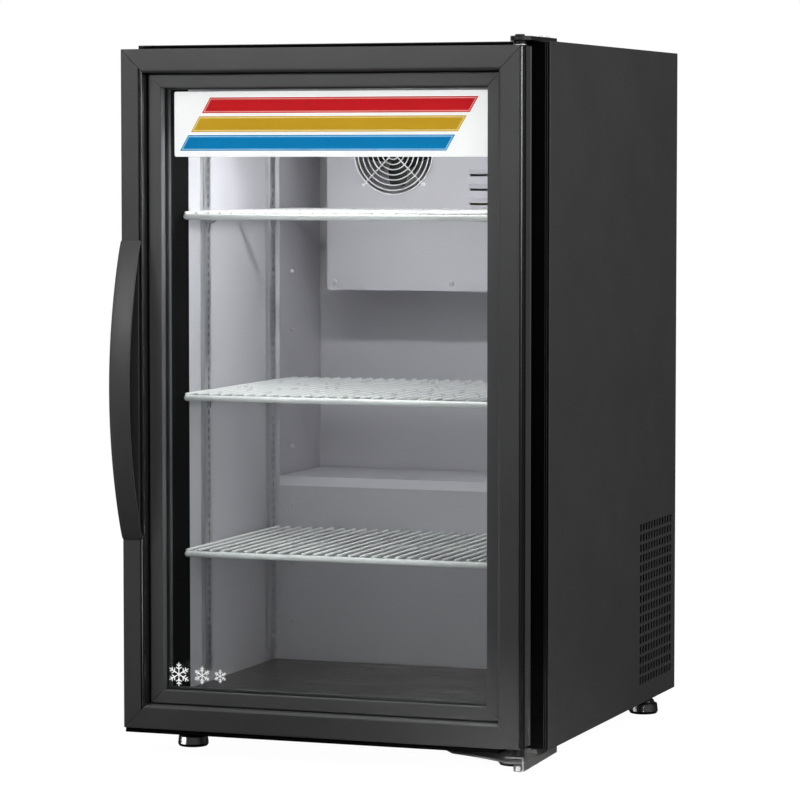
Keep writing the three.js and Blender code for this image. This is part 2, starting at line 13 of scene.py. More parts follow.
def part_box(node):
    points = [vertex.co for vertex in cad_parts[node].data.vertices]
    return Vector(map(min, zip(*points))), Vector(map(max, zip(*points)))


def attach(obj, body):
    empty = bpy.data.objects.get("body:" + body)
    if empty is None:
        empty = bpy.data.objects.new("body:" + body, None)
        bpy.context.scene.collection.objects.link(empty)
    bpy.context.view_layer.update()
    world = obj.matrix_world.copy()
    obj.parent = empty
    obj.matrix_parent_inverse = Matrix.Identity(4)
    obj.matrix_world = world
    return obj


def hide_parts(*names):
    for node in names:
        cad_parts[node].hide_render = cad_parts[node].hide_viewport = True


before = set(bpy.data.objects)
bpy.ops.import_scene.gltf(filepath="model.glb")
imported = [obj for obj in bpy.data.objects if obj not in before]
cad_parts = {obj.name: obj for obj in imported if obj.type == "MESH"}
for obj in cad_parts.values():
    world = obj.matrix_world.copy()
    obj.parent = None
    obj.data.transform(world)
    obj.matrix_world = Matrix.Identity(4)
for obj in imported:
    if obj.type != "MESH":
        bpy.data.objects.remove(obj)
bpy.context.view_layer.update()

MM = 0.001
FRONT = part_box("left_side_panel")[0].y
TO_ROW = Matrix.Translation((0, FRONT, 0)) @ Matrix.Scale(MM, 4)


def span(node):
    """A CAD node's extent along x, y and z in case millimetres."""
    low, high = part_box(node)
    offsets = (0, FRONT, 0)
    return [((low[k] - offsets[k]) / MM, (high[k] - offsets[k]) / MM) for k in range(3)]


def centre_of(node, axes):
    """The middle of a CAD node along each of the named axes."""
    return tuple(sum(span(node)["xyz".index(axis)]) / 2 for axis in axes)


# ---- Camera and light ---------------------------------------------------------------------------

CAMERA_PLACE = Vector((1.828, -5.065, 0.855))
CAMERA_AZIMUTH = math.radians(19.94)
CAMERA_DOWN = math.radians(3.82)
CAMERA_LENS = 163.5


def add_camera():
    lens = bpy.data.cameras.new("camera")
    lens.lens = CAMERA_LENS
    lens.sensor_width = 36
    camera = bpy.data.objects.new("camera", lens)
    level = math.cos(CAMERA_DOWN)
    ahead = Vector(
        (-math.sin(CAMERA_AZIMUTH) * level, math.cos(CAMERA_AZIMUTH) * level, -math.sin(CAMERA_DOWN))
    )
    camera.location = CAMERA_PLACE
    camera.rotation_euler = ahead.to_track_quat("-Z", "Y").to_euler()
    bpy.context.collection.objects.link(camera)
    bpy.context.scene.camera = camera


def softbox(name, place, target, size, watts, spread=180):
    lamp = bpy.data.lights.new(name, "AREA")
    lamp.shape = "RECTANGLE"
    lamp.size, lamp.size_y = size
    lamp.energy = watts
    lamp.spread = math.radians(spread)
    box = bpy.data.objects.new(name, lamp)
    box.visible_camera = False
    box.location = place
    box.rotation_euler = (Vector(target) - Vector(place)).to_track_quat("-Z", "Y").to_euler()
    bpy.context.collection.objects.link(box)


def add_world():
    """White to look at, and a dim sky that grows brighter overhead to light by."""
    world = bpy.data.worlds.new("studio")
    bpy.context.scene.world = world
    world.use_nodes = True
    tree = world.node_tree
    tree.nodes.clear()
    output = tree.nodes.new("ShaderNodeOutputWorld")
    mix = tree.nodes.new("ShaderNodeMixShader")
    seen = tree.nodes.new("ShaderNodeBackground")
    sky = tree.nodes.new("ShaderNodeBackground")
    rays = tree.nodes.new("ShaderNodeLightPath")
    place = tree.nodes.new("ShaderNodeTexCoord")
    parts = tree.nodes.new("ShaderNodeSeparateXYZ")
    ramp = tree.nodes.new("ShaderNodeMapRange")
    seen.inputs["Color"].default_value = (1, 1, 1, 1)
    seen.inputs["Strength"].default_value = 1.0
    ramp.inputs["From Min"].default_value = -0.02
    ramp.inputs["From Max"].default_value = 1.0
    ramp.inputs["To Min"].default_value = 0.03
    ramp.inputs["To Max"].default_value = 0.62
    tree.links.new(place.outputs["Generated"], parts.inputs["Vector"])
    tree.links.new(parts.outputs["Z"], ramp.inputs["Value"])
    tree.links.new(ramp.outputs["Result"], sky.inputs["Strength"])
    tree.links.new(rays.outputs["Is Camera Ray"], mix.inputs["Fac"])
    tree.links.new(sky.outputs["Background"], mix.inputs[1])
    tree.links.new(seen.outputs["Background"], mix.inputs[2])
    tree.links.new(mix.outputs["Shader"], output.inputs["Surface"])


def add_floor():
    """A pale floor that shows contact shadows and throws no light back up."""
    half = 14.0
    corners = [(-half, -half, 0), (half, -half, 0), (half, half, 0), (-half, half, 0)]
    mesh = bpy.data.meshes.new("floor")
    mesh.from_pydata(corners, [], [(0, 1, 2, 3)])
    floor = bpy.data.objects.new("floor", mesh)
    bpy.context.collection.objects.link(floor)
    look = Look("floor_paint", roughness=0.9, specular=0.0)
    look.colours(look.noise(2.0), (0.05, 0.05, 0.05), (0.07, 0.07, 0.07))
    look.shader.inputs["Emission Color"].default_value = (1, 1, 1, 1)
    look.shader.inputs["Emission Strength"].default_value = 0.98
    mesh.materials.append(look.material)
    floor.visible_diffuse = False
    floor.visible_glossy = False
    floor.visible_transmission = False


# ---- Materials ----------------------------------------------------------------------------------


def srgb(code):
    """A web colour such as 0xd41a22 as linear light."""
    parts = [(code >> shift & 255) / 255 for shift in (16, 8, 0)]
    return tuple(v / 12.92 if v <= 0.04045 else ((v + 0.055) / 1.055) ** 2.4 for v in parts)


class Look:
    """A Principled material whose variation comes from noise in the piece's own coordinates."""

    def __init__(self, name, roughness, metallic=0.0, specular=0.5):
        self.material = bpy.data.materials.new(name)
        self.material.use_nodes = True
        self.tree = self.material.node_tree
        self.shader = self.tree.nodes["Principled BSDF"]
        self.shader.inputs["Roughness"].default_value = roughness
        self.shader.inputs["Metallic"].default_value = metallic
        self.shader.inputs["Specular IOR Level"].default_value = specular

    def node(self, kind):
        return self.tree.nodes.new(kind)

    def link(self, source, target):
        self.tree.links.new(source, target)

    def where(self, stretch=(1, 1, 1)):
        place = self.node("ShaderNodeTexCoord")
        scale = self.node("ShaderNodeMapping")
        scale.inputs["Scale"].default_value = stretch
        self.link(place.outputs["Object"], scale.inputs["Vector"])
        return scale.outputs["Vector"]

    def noise(self, scale, detail=2.0, stretch=(1, 1, 1)):
        noise = self.node("ShaderNodeTexNoise")
        noise.inputs["Scale"].default_value = scale
        noise.inputs["Detail"].default_value = detail
        self.link(self.where(stretch), noise.inputs["Vector"])
        return noise.outputs["Fac"]

    def cells(self, scale):
        cells = self.node("ShaderNodeTexVoronoi")
        cells.inputs["Scale"].default_value = scale
        self.link(self.where(), cells.inputs["Vector"])
        return cells

    def colours(self, factor, dark, light, low=0.3, high=0.7):
        ramp = self.node("ShaderNodeValToRGB")
        ramp.color_ramp.elements[0].position = low
        ramp.color_ramp.elements[1].position = high
        ramp.color_ramp.elements[0].color = (*dark, 1)
        ramp.color_ramp.elements[1].color = (*light, 1)
        self.link(factor, ramp.inputs["Fac"])
        self.link(ramp.outputs["Color"], self.shader.inputs["Base Color"])

    def rough(self, factor, low, high):
        spread = self.node("ShaderNodeMapRange")
        spread.inputs["From Min"].default_value = 0.3
        spread.inputs["From Max"].default_value = 0.7
        spread.inputs["To Min"].default_value = low
        spread.inputs["To Max"].default_value = high
        self.link(factor, spread.inputs["Value"])
        self.link(spread.outputs["Result"], self.shader.inputs["Roughness"])

    def bump(self, factor, strength, depth=0.0001):
        bump = self.node("ShaderNodeBump")
        bump.inputs["Strength"].default_value = strength
        bump.inputs["Distance"].default_value = depth
        self.link(factor, bump.inputs["Height"])
        self.link(bump.outputs["Normal"], self.shader.inputs["Normal"])


def around(colour, amount):
    """Two shades a little darker and lighter than a colour."""
    return [tuple(c * (1 - amount) for c in colour), tuple(min(1, c * (1 + amount)) for c in colour)]


def powder_coat(name, colour, roughness, specular=0.5):
    """Baked powder paint: an even colour with a faint orange peel."""
    look = Look(name, roughness, specular=specular)
    look.colours(look.noise(9, 3), *around(colour, 0.07))
    look.rough(look.noise(60, 3), roughness - 0.03, roughness + 0.03)
    look.bump(look.noise(420, 2), 0.10)
    return look.material


def enamel(name, colour, roughness=0.35):
    """Painted or coated sheet inside the cabinet."""
    look = Look(name, roughness)
    look.colours(look.noise(5, 4), *around(colour, 0.03))
    look.rough(look.noise(30, 3), roughness - 0.05, roughness + 0.05)
    look.bump(look.noise(260, 2), 0.08)
    return look.material


def moulded_plastic(name, colour, roughness=0.5, specular=0.5):
    look = Look(name, roughness, specular=specular)
    look.colours(look.noise(25, 3), *around(colour, 0.10))
    look.bump(look.noise(900, 2), 0.15)
    return look.material


def rubber(name, colour, roughness=0.75):
    look = Look(name, roughness, specular=0.3)
    look.colours(look.noise(40, 4), *around(colour, 0.18))
    look.bump(look.noise(500, 3), 0.2)
    return look.material


def galvanised(name):
    """Zinc-coated sheet with its spangle."""
    look = Look(name, 0.4, metallic=1.0)
    crystals = look.cells(90)
    look.colours(crystals.outputs["Color"], (0.42, 0.43, 0.44), (0.62, 0.63, 0.64), 0.1, 0.9)
    look.rough(look.noise(70, 3), 0.34, 0.5)
    look.bump(crystals.outputs["Distance"], 0.05)
    return look.material


def brushed(name, colour, roughness, stretch=(900, 900, 6)):
    """Drawn or brushed metal with its grain along the axis of least stretch."""
    look = Look(name, roughness, metallic=1.0)
    grain = look.noise(1.0, 3, stretch)
    look.colours(grain, *around(colour, 0.10))
    look.rough(grain, roughness - 0.06, roughness + 0.08)
    look.bump(grain, 0.08)
    return look.material


def foam(name):
    look = Look(name, 0.9, specular=0.2)
    look.colours(look.noise(14, 4), (0.66, 0.52, 0.25), (0.80, 0.68, 0.40))
    look.bump(look.cells(260).outputs["Distance"], 0.5, 0.0006)
    return look.material


def clear_glass(name, tint):
    """Float glass that lets lamps shine through to what it covers."""
    look = Look(name, 0.0)
    look.shader.inputs["Transmission Weight"].default_value = 1.0
    look.shader.inputs["IOR"].default_value = 1.38
    look.colours(look.noise(3, 1), tint, [min(1, c * 1.01) for c in tint])
    rays = look.node("ShaderNodeLightPath")
    through = look.node("ShaderNodeBsdfTransparent")
    mix = look.node("ShaderNodeMixShader")
    output = look.tree.nodes["Material Output"]
    through.inputs["Color"].default_value = (*tint, 1)
    look.link(rays.outputs["Is Shadow Ray"], mix.inputs["Fac"])
    look.link(look.shader.outputs["BSDF"], mix.inputs[1])
    look.link(through.outputs["BSDF"], mix.inputs[2])
    look.link(mix.outputs["Shader"], output.inputs["Surface"])
    return look.material


def printed(name, colour, painted_glow=0.0):
    """Screen-printed ink or white acrylic, its light from behind painted in as emission."""
    look = Look(name, 0.5, specular=0.08)
    look.colours(look.noise(12, 3), *around(colour, 0.012))
    look.rough(look.noise(50, 2), 0.46, 0.54)
    look.shader.inputs["Emission Color"].default_value = (*colour, 1)
    look.shader.inputs["Emission Strength"].default_value = painted_glow
    return look.material


def lit_lens(name):
    look = Look(name, 0.35)
    look.colours(look.noise(20, 2), (0.86, 0.87, 0.88), (0.94, 0.94, 0.95))
    look.bump(look.noise(1.0, 0, (700, 1, 1)), 0.3, 0.0005)
    look.shader.inputs["Emission Color"].default_value = (0.95, 0.98, 1.0, 1)
    look.shader.inputs["Emission Strength"].default_value = 1.5
    return look.material


COAT = powder_coat("case_black_coat", (0.061, 0.061, 0.0615), 0.46, 0.4)
DOOR_COAT = powder_coat("door_black_coat", (0.066, 0.066, 0.067), 0.42, 0.5)
# A lighter copy of the door's black coat for the glass beads: its higher albedo paints in light where the
# recessed beads lie in the frame's shade.
BEAD_COAT_PAINTED_LIGHT = powder_coat("bead_black_coat_painted_light", (0.088, 0.088, 0.089), 0.42, 0.5)
TRIM = moulded_plastic("black_trim", (0.012, 0.012, 0.012), 0.5)
# Matte near-black: the breaker moulding's own black, and painted shade where it dresses the door's underside,
# the case's mouth and the condenser behind the vents.
BLACK_AND_PAINTED_SHADE = moulded_plastic("mouth_black_and_painted_shade", (0.003, 0.003, 0.003), 0.8, 0.04)
# Near-black gloss for the two frame strips: the dark colour paints the shade in the recess and the corner
# groove; their bright lines are true reflections.
GLOSS_BLACK_PAINTED_SHADE = moulded_plastic("strip_gloss_black_painted_shade", (0.004, 0.004, 0.004), 0.23, 1.0)
GLOSS_BLACK_PAINTED_SHADE.node_tree.nodes["Principled BSDF"].inputs["IOR"].default_value = 1.8
BRACKET_COAT = powder_coat("bracket_grey_coat", (0.15, 0.15, 0.15), 0.4)
COMPRESSOR_PAINT = powder_coat("compressor_black", (0.016, 0.016, 0.017), 0.3)
LINER = enamel("liner_enamel", srgb(0xc6c4ca))
WHITE_COAT = enamel("shelf_white_coat", srgb(0xf9f9f9), 0.3)
GASKET = rubber("gasket_rubber", (0.008, 0.008, 0.008), 0.6)
FOOT = rubber("foot_rubber", (0.010, 0.010, 0.010), 0.35)
GALVANISED = galvanised("galvanised_sheet")
ZINC = brushed("zinc_plate", (0.62, 0.63, 0.64), 0.28)
FOOT_STEEL = brushed("foot_sleeve_steel", (0.5, 0.5, 0.5), 0.16)
ALUMINIUM = brushed("aluminium", (0.66, 0.67, 0.68), 0.36)
DARK_BAR = brushed("spacer_grey", (0.24, 0.24, 0.25), 0.5)
# The floor pan's dark brownish tint paints the reflections of bottles in the steel.
FLOOR_STEEL_PAINTED_REFLECTION = brushed("stainless_floor", (0.17, 0.145, 0.135), 0.24, (6, 700, 700))
COPPER = brushed("copper_tube", (0.72, 0.36, 0.22), 0.3)
# The sign's white glows by emission, a painted glow; the knob's pointer shares it.
SIGN_PAINTED_GLOW = printed("sign_white_painted_glow", srgb(0xc0c0c0), 1.3)
GLASS = clear_glass("door_glass", (0.97, 0.985, 0.98))
LENS = lit_lens("lamp_lens")
FOAM = foam("insulation_foam")
CHROME = brushed("bare_steel", (0.86, 0.86, 0.86), 0.42)


# ---- Drawing ------------------------------------------------------------------------------------


def turn(axis, a, b, h):
    """The point (a, b) of a drawing at height h along the named axis."""
    return {"x": (h, a, b), "y": (a, h, b), "z": (a, b, h)}[axis]


def arc(centre, radius, start, end, steps=6):
    """Points of an arc, with angles in degrees."""
    angles = [math.radians(start + (end - start) * i / steps) for i in range(steps + 1)]
    return [(centre[0] + radius * math.cos(t), centre[1] + radius * math.sin(t)) for t in angles]


def circle(centre, radius, sides, start=0):
    """Corners of a regular polygon, the first at start degrees."""
    return arc(centre, radius, start, start + 360, sides)[:-1]


def spun(points, centre, t):
    """Points turned by the angle t about the origin, then moved to centre."""
    cos, sin = math.cos(t), math.sin(t)
    return [(centre[0] + a * cos - b * sin, centre[1] + a * sin + b * cos) for a, b in points]


def stroke(start, end, width):
    """The corners of a straight bar from start to end."""
    da, db = end[0] - start[0], end[1] - start[1]
    share = width / 2 / math.hypot(da, db)
    na, nb = -db * share, da * share
    corners = [(start[0] + na, start[1] + nb), (start[0] - na, start[1] - nb)]
    return corners + [(end[0] - na, end[1] - nb), (end[0] + na, end[1] + nb)]


def repeated(outline, start, count, pitch):
    """A lathe profile's [radius, rise] points drawn count times, a pitch apart from start."""
    return [(radius, start + i * pitch + rise) for i in range(count) for radius, rise in outline]


def rounded_rectangle(a, b, radius, steps=4):
    (a0, a1), (b0, b1) = a, b
    corners = [(a0, b0, 180), (a1, b0, 270), (a1, b1, 0), (a0, b1, 90)]
    inward = [(1, 1), (-1, 1), (-1, -1), (1, -1)]
    points = []
    for (u, v, start), (du, dv) in zip(corners, inward):
        points += arc((u + du * radius, v + dv * radius), radius, start, start + 90, steps)
    return points


def filleted(points, radius, steps=5):
    """A line in space with each inner corner eased by a curve that starts radius before it."""
    points = [Vector(p) for p in points]
    eased = [points[0]]
    for before, corner, after in zip(points, points[1:], points[2:]):
        start = corner + (before - corner).normalized() * radius
        end = corner + (after - corner).normalized() * radius
        for i in range(steps + 1):
            t = i / steps
            eased.append(start.lerp(corner, t).lerp(corner.lerp(end, t), t))
    return eased + [points[-1]]


class Shape:
    """A mesh under construction, in case millimetres."""

    def __init__(self):
        self.mesh = bmesh.new()

    def band(self, first, second):
        """Skins the gap between two closed rows of corners."""
        for i in range(len(first)):
            j = (i + 1) % len(first)
            self.mesh.faces.new((first[i], first[j], second[j], second[i]))

    def loft(self, rings, closed=False):
        """Skins rings of points, and a ring of one point makes a tip."""
        rows = [[self.mesh.verts.new(p) for p in ring] for ring in rings]
        pairs = list(zip(rows, rows[1:])) + ([(rows[-1], rows[0])] if closed else [])
        for near, far in pairs:
            if len(near) == len(far):
                self.band(near, far)
                continue
            tip, rim = (near[0], far) if len(near) == 1 else (far[0], near)
            for i, corner in enumerate(rim):
                self.mesh.faces.new((tip, corner, rim[(i + 1) % len(rim)]))
        if not closed:
            for row in (rows[0], rows[-1]):
                if len(row) > 2:
                    self.mesh.faces.new(row)

    def prism(self, points, axis, start, end):
        self.loft([[turn(axis, a, b, h) for a, b in points] for h in (start, end)])

    def slab(self, levels, axis, a, b, radius):
        """A rounded rectangle lofted along axis through [height, inset] levels."""
        rings = []
        for height, inset in levels:
            (a0, a1), (b0, b1) = [(s[0] + inset, s[1] - inset) for s in (a, b)]
            outline = rounded_rectangle((a0, a1), (b0, b1), radius)
            rings.append([turn(axis, *p, height) for p in outline])
        self.loft(rings)

    def block(self, xs, ys, zs, radius):
        """A box with its long edges along y rounded."""
        self.prism(rounded_rectangle(sorted(xs), zs, radius), "y", *ys)

    def lathe(self, profile, axis, centre, sides=32, closed=False):
        """Turns a [radius, height] profile about the axis through centre."""
        rings = []
        for radius, height in profile:
            ring = circle(centre, radius, sides) if radius else [centre]
            rings.append([turn(axis, *p, height) for p in ring])
        self.loft(rings, closed)

    def tube(self, path, radius, sides=10, closed=False):
        path = [Vector(p) for p in path]
        count = len(path)
        rings = []
        lift = None
        for i, point in enumerate(path):
            ahead = path[(i + 1) % count] if closed or i < count - 1 else point
            behind = path[i - 1] if closed or i > 0 else point
            forward = (ahead - behind).normalized()
            lift = forward.orthogonal() if lift is None else lift
            lift = (lift - forward * lift.dot(forward)).normalized()
            rings.append(self.hoop(point, lift, forward.cross(lift), radius, sides))
        self.loft(rings, closed)

    def rod(self, start, end, radius, sides=10):
        """A straight wire with rounded ends."""
        start, end = Vector(start), Vector(end)
        forward = (end - start).normalized()
        lift = forward.orthogonal().normalized()
        side = forward.cross(lift)
        dome = ((0.13, 0.5), (0.5, 0.87), (1.0, 1.0))
        stops = [(start + forward * radius * along, share) for along, share in dome]
        stops += [(end - forward * radius * along, share) for along, share in reversed(dome)]
        rings = [self.hoop(place, lift, side, radius * share, sides) for place, share in stops]
        self.loft([[start]] + rings + [[end]])

    @staticmethod
    def hoop(centre, lift, side, radius, sides):
        return [centre + lift * a + side * b for a, b in circle((0, 0), radius, sides)]

    def frame(self, section, xs, zs):
        """A closed rectangular ring whose section is given as [inset, y] points."""
        rings = []
        for inset, y in section:
            (x0, x1), (z0, z1) = [(s[0] + inset, s[1] - inset) for s in (xs, zs)]
            rings.append([(x0, y, z0), (x1, y, z0), (x1, y, z1), (x0, y, z1)])
        self.loft(rings, True)

    def folded_sheet(self, path, levels, thickness, axis="z", hole=None):
        """A sheet folded along path, the (a, b) line of one face, and cut across at levels.

        thickness goes to the left of the path. hole(i, j) gives a slot's half width, half height
        and corner radius for that cell, or None.
        """
        path = [Vector(p) for p in path]
        normals = []
        for i, point in enumerate(path):
            before, after = path[max(i - 1, 0)], path[min(i + 1, len(path) - 1)]
            sides = [s.normalized() for s in (point - before, after - point) if s.length > 0]
            turned = [Vector((-s.y, s.x)) for s in sides]
            mean = (turned[0] + turned[-1]).normalized()
            normals.append(mean * thickness / max(0.3, mean.dot(turned[0])))
        faces = []
        for line in (path, [p + n for p, n in zip(path, normals)]):
            faces.append([[self.mesh.verts.new(turn(axis, *p, h)) for h in levels] for p in line])
        for i in range(len(path) - 1):
            for j in range(len(levels) - 1):
                cell = [[f[i][j], f[i + 1][j], f[i + 1][j + 1], f[i][j + 1]] for f in faces]
                size = hole(i, j) if hole else None
                if size:
                    self.pierce(cell, *size)
                else:
                    for corners in cell:
                        self.mesh.faces.new(corners)
        last, top = len(path) - 1, len(levels) - 1
        edge = [(i, 0) for i in range(last)] + [(last, j) for j in range(top)]
        edge += [(i, top) for i in range(last, 0, -1)] + [(0, j) for j in range(top, 0, -1)]
        self.band(*[[f[i][j] for i, j in edge] for f in faces])

    def pierce(self, cell, half_width, half_height, radius):
        """Fills a cell of a sheet round a slot with rounded corners."""
        steps = 3
        outline = rounded_rectangle((-half_width, half_width), (-half_height, half_height), radius, steps)
        loops = []
        for corners in cell:
            centre = sum((v.co for v in corners), Vector()) / 4
            across = (corners[1].co - corners[0].co).normalized()
            upward = (corners[3].co - corners[0].co).normalized()
            points = [self.mesh.verts.new(centre + across * a + upward * b) for a, b in outline]
            for q in range(4):
                own = points[q * (steps + 1) : (q + 1) * (steps + 1)]
                following = points[(q + 1) * (steps + 1) % len(points)]
                for p, r in zip(own, own[1:]):
                    self.mesh.faces.new((corners[q], r, p))
                self.mesh.faces.new((corners[q], corners[(q + 1) % 4], following, own[-1]))
            loops.append(points)
        self.band(*loops)

    def screw(self, axis, a, b, face, out, radius=4.0):
        """A pan-head screw with a cross recess, standing out of face towards out (+1 or -1)."""
        rise = radius * 0.5
        arm, slot = radius * 0.5, radius * 0.13
        cross = []
        for quarter in range(4):
            corners = ((slot, -slot), (arm, -slot), (arm, slot))
            cross += spun(corners, (a, b), quarter * math.pi / 2)
        cross.sort(key=lambda p: math.atan2(p[1] - b, p[0] - a))

        def row(points, share):
            return [self.mesh.verts.new(turn(axis, *p, face + out * rise * share)) for p in points]

        head = ((1.0, 0), (1.0, 0.4), (0.85, 0.85), (0.6, 1.0))
        rows = [row(circle((a, b), radius * width, 24), share) for width, share in head]
        for near, far in zip(rows, rows[1:]):
            self.band(near, far)
        lip, pit = row(cross, 1.0), row(cross, 0.3)
        self.band(lip, pit)
        self.mesh.faces.new(rows[0])
        self.mesh.faces.new(pit)
        edges = []
        for loop in (lip, rows[-1]):
            edges += [self.mesh.edges.get(pair) for pair in zip(loop, loop[1:] + loop[:1])]
        bmesh.ops.triangle_fill(self.mesh, edges=edges, use_beauty=True)

    def screws(self, axis, places, face, out, radius=4.0):
        for a, b in places:
            self.screw(axis, a, b, face, out, radius)


def piece(name, shape, look, body="cabinet", stands_for=(), sharp=35):
    """Turns a drawn shape into a piece that rides on its body."""
    bmesh.ops.remove_doubles(shape.mesh, verts=shape.mesh.verts, dist=0.0005)
    bmesh.ops.dissolve_degenerate(shape.mesh, edges=shape.mesh.edges, dist=0.0005)
    bmesh.ops.recalc_face_normals(shape.mesh, faces=shape.mesh.faces)
    shape.mesh.transform(TO_ROW)
    mesh = bpy.data.meshes.new(name)
    shape.mesh.to_mesh(mesh)
    shape.mesh.free()
    mesh.materials.append(look)
    mesh.polygons.foreach_set("use_smooth", [True] * len(mesh.polygons))
    made = bpy.data.objects.new(name, mesh)
    bpy.context.collection.objects.link(made)
    mesh.set_sharp_from_angle(angle=math.radians(sharp))
    made.modifiers.new("flat_faces", "WEIGHTED_NORMAL").keep_sharp = True
    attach(made, body)
    if stands_for:
        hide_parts(*stands_for)


def carry(names, look):
    """Gives CAD nodes that keep their own shape a finished material."""
    for name in names:
        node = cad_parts[name]
        if node.material_slots:
            node.material_slots[0].material = look
        else:
            node.data.materials.append(look)


# ---- Sizes taken from the frame -----------------------------------------------------------------

CASE_HALF = span("right_side_panel")[0][1]
CASE_Y, CASE_Z = span("right_side_panel")[1:]
DOOR_X = (span("door_left_rail")[0][0], span("door_right_rail")[0][1])
DOOR_Z = (span("door_bottom_rail")[2][0], span("door_top_rail")[2][1])
DOOR_FACE = span("door_left_rail")[1][0]
SIDES = (("left", -1), ("right", 1))
FEET = ("front_left_foot", "front_right_foot", "rear_left_foot", "rear_right_foot")
SHELVES = ("upper_shelf", "middle_shelf", "lower_shelf")


# ---- Door ---------------------------------------------------------------------------------------


def mitred(section, side, trim=0.45):
    """One straight member of the door frame, from (distance in from the edge, depth) points."""
    shape = Shape()
    rings = []
    for end in (0, 1):
        ring = []
        for inset, depth in section:
            x_ends = (DOOR_X[0] + inset + trim, DOOR_X[1] - inset - trim)
            z_ends = (DOOR_Z[0] + inset + trim, DOOR_Z[1] - inset - trim)
            x = {"left": DOOR_X[0] + inset, "right": DOOR_X[1] - inset}.get(side, x_ends[end])
            z = {"bottom": DOOR_Z[0] + inset, "top": DOOR_Z[1] - inset}.get(side, z_ends[end])
            ring.append((x, DOOR_FACE + depth, z))
        rings.append(ring)
    shape.loft(rings)
    return shape


STRIP = 3.6  # how much of the hinge-side corner is taken by its black edge strip


def rail_section(side):
    """Extruded frame: flat band, eased or lined step down to the glass, outer corner, sides and back."""
    outer = [(34, 16)] + arc((29.4, 4.6), 4.6, 0, -90, 8)
    wall = [(29.0, 3.0), (31.0, 5.4), (31.0, 16)]
    corner = [(0.9, 0), (0.3, 0.3), (0, 0.9), (0, 20)]
    if side == "left":
        outer = [(26.4, 16), (26.4, 0.9), (25.5, 0)]
        wall = [(23.8, 3.0), (23.8, 16)]
    if side == "right":
        corner = [(STRIP, 0), (STRIP, 20)]
    groove = [(0.4, 20.4), (0.4, 38.0), (3.0, 38.4), (3.0, 41.2)]
    rear_bead = arc((2.3, 44.0), 2.2, 240, 120, 6)
    back = [(3.0, 46.8), (3.4, 50), (56, 50), (57, 49), (57, 42.4), (56.2, 41.6)]
    hollow = [(54.5, 41.6), (54.5, 47.5), (5.8, 47.5), (5.8, 3.0)]
    return outer + corner + groove + rear_bead + back + hollow + wall


def recess_strip_section():
    """Glossy black lining of the step down to the glass, near-black to paint the recess's shade: a slot, a
    round bead and a wall.
    """
    slot = [(34, 16), (26.7, 16), (26.7, 3.2), (27.9, 3.2)]
    return slot + arc((30.2, 2.5), 2.2, 180, 360, 10) + [(32.7, 4.2), (34, 7)]


def edge_strip_section():
    """Glossy black strip down the hinge-side corner, near-black to paint the shade of its groove: a round
    bead, a groove and a flat.
    """
    inside = STRIP - 0.2
    bead = arc((4.0, 6.0), 4.0, 261, 150, 10)
    return [(inside, 19.8)] + bead + [(1.7, 9.6), (1.7, 11.6), (0, 12.4), (0, 19.8)]


def bead_section():
    depth, rear = 16.0, 31.0
    face = [(35.5, rear), (35.5, depth + 1.0), (36.0, depth + 0.3), (36.8, depth)]
    lip = [(53.6, depth), (54.6, depth + 0.5), (55.0, depth + 1.6), (54.4, depth + 2.7)]
    return face + lip + [(38, depth + 2.7), (38, rear)]


def build_door_frame():
    for side in ("left", "right", "top", "bottom"):
        rail = "door_" + side + "_rail"
        bead = side + "_glass_bead"
        for name, node, section, look in (
            (rail + "_extrusion", rail, rail_section(side), DOOR_COAT),
            (bead + "_strip", bead, bead_section(), BEAD_COAT_PAINTED_LIGHT),
        ):
            piece(name, mitred(section, side), look, "door", (node,), sharp=30)
    for name, section, side in (
        ("recess_lining", recess_strip_section(), "left"),
        ("hinge_edge_strip", edge_strip_section(), "right"),
    ):
        piece(name, mitred(section, side), GLOSS_BLACK_PAINTED_SHADE, "door", sharp=40)
    # A near-black fold under the door's bottom edge paints the shade beneath the door.
    high, low = DOOR_Z[0] - 0.1, DOOR_Z[0] - 6.6
    fold = [(3, high), (2, low + 1), (3, low), (38, low), (40, low + 1), (40, high), (36, high)]
    fold += [(36, low + 2), (7, low + 2), (7, high)]
    shade_fold = Shape()
    shade_fold.prism([(DOOR_FACE + depth, z) for depth, z in fold], "x", DOOR_X[0] + 2, DOOR_X[1] - 32)
    piece("door_bottom_painted_shade_trim", shade_fold, BLACK_AND_PAINTED_SHADE, "door", sharp=30)


def build_glass():
    """Two panes with ground edges, and the spacer bar with two grooves along its inner face."""
    for name in ("outer_glass", "inner_glass"):
        xs, ys, zs = span(name)
        ease = 0.6
        levels = ((ys[0], ease), (ys[0] + ease, 0), (ys[1] - ease, 0), (ys[1], ease))
        shape = Shape()
        shape.slab(levels, "y", xs, zs, 3.0)
        piece(name + "_pane", shape, GLASS, "door", (name,), sharp=20)
    xs, ys, zs = span("glass_spacer")
    bar = Shape()
    width = 9.0
    groove = width - 0.5
    section = [(0, ys[0] + 1), (1, ys[0]), (width - 1, ys[0]), (width, ys[0] + 1)]
    for share in (0.3, 0.7):
        middle = ys[0] + (ys[1] - ys[0]) * share
        section += [(width, middle - 1.2), (groove, middle - 0.8)]
        section += [(groove, middle + 0.8), (width, middle + 1.2)]
    section += [(width, ys[1] - 1), (width - 1, ys[1]), (1, ys[1]), (0, ys[1] - 1)]
    bar.frame(section, xs, zs)
    piece("glass_spacer_bar", bar, DARK_BAR, "door", ("glass_spacer",))


def slanted_bar(left, right, low, high, lean, inset):
    """A parallelogram whose ends lean to the right going up, drawn in by inset on all sides."""
    slope = lean / (high - low)
    reach = inset * math.hypot(1, slope)
    left, right, shift = left + reach, right - reach, slope * inset
    corners = [(left + shift, low + inset), (right + shift, low + inset)]
    return corners + [(right + lean - shift, high - inset), (left + lean - shift, high - inset)]


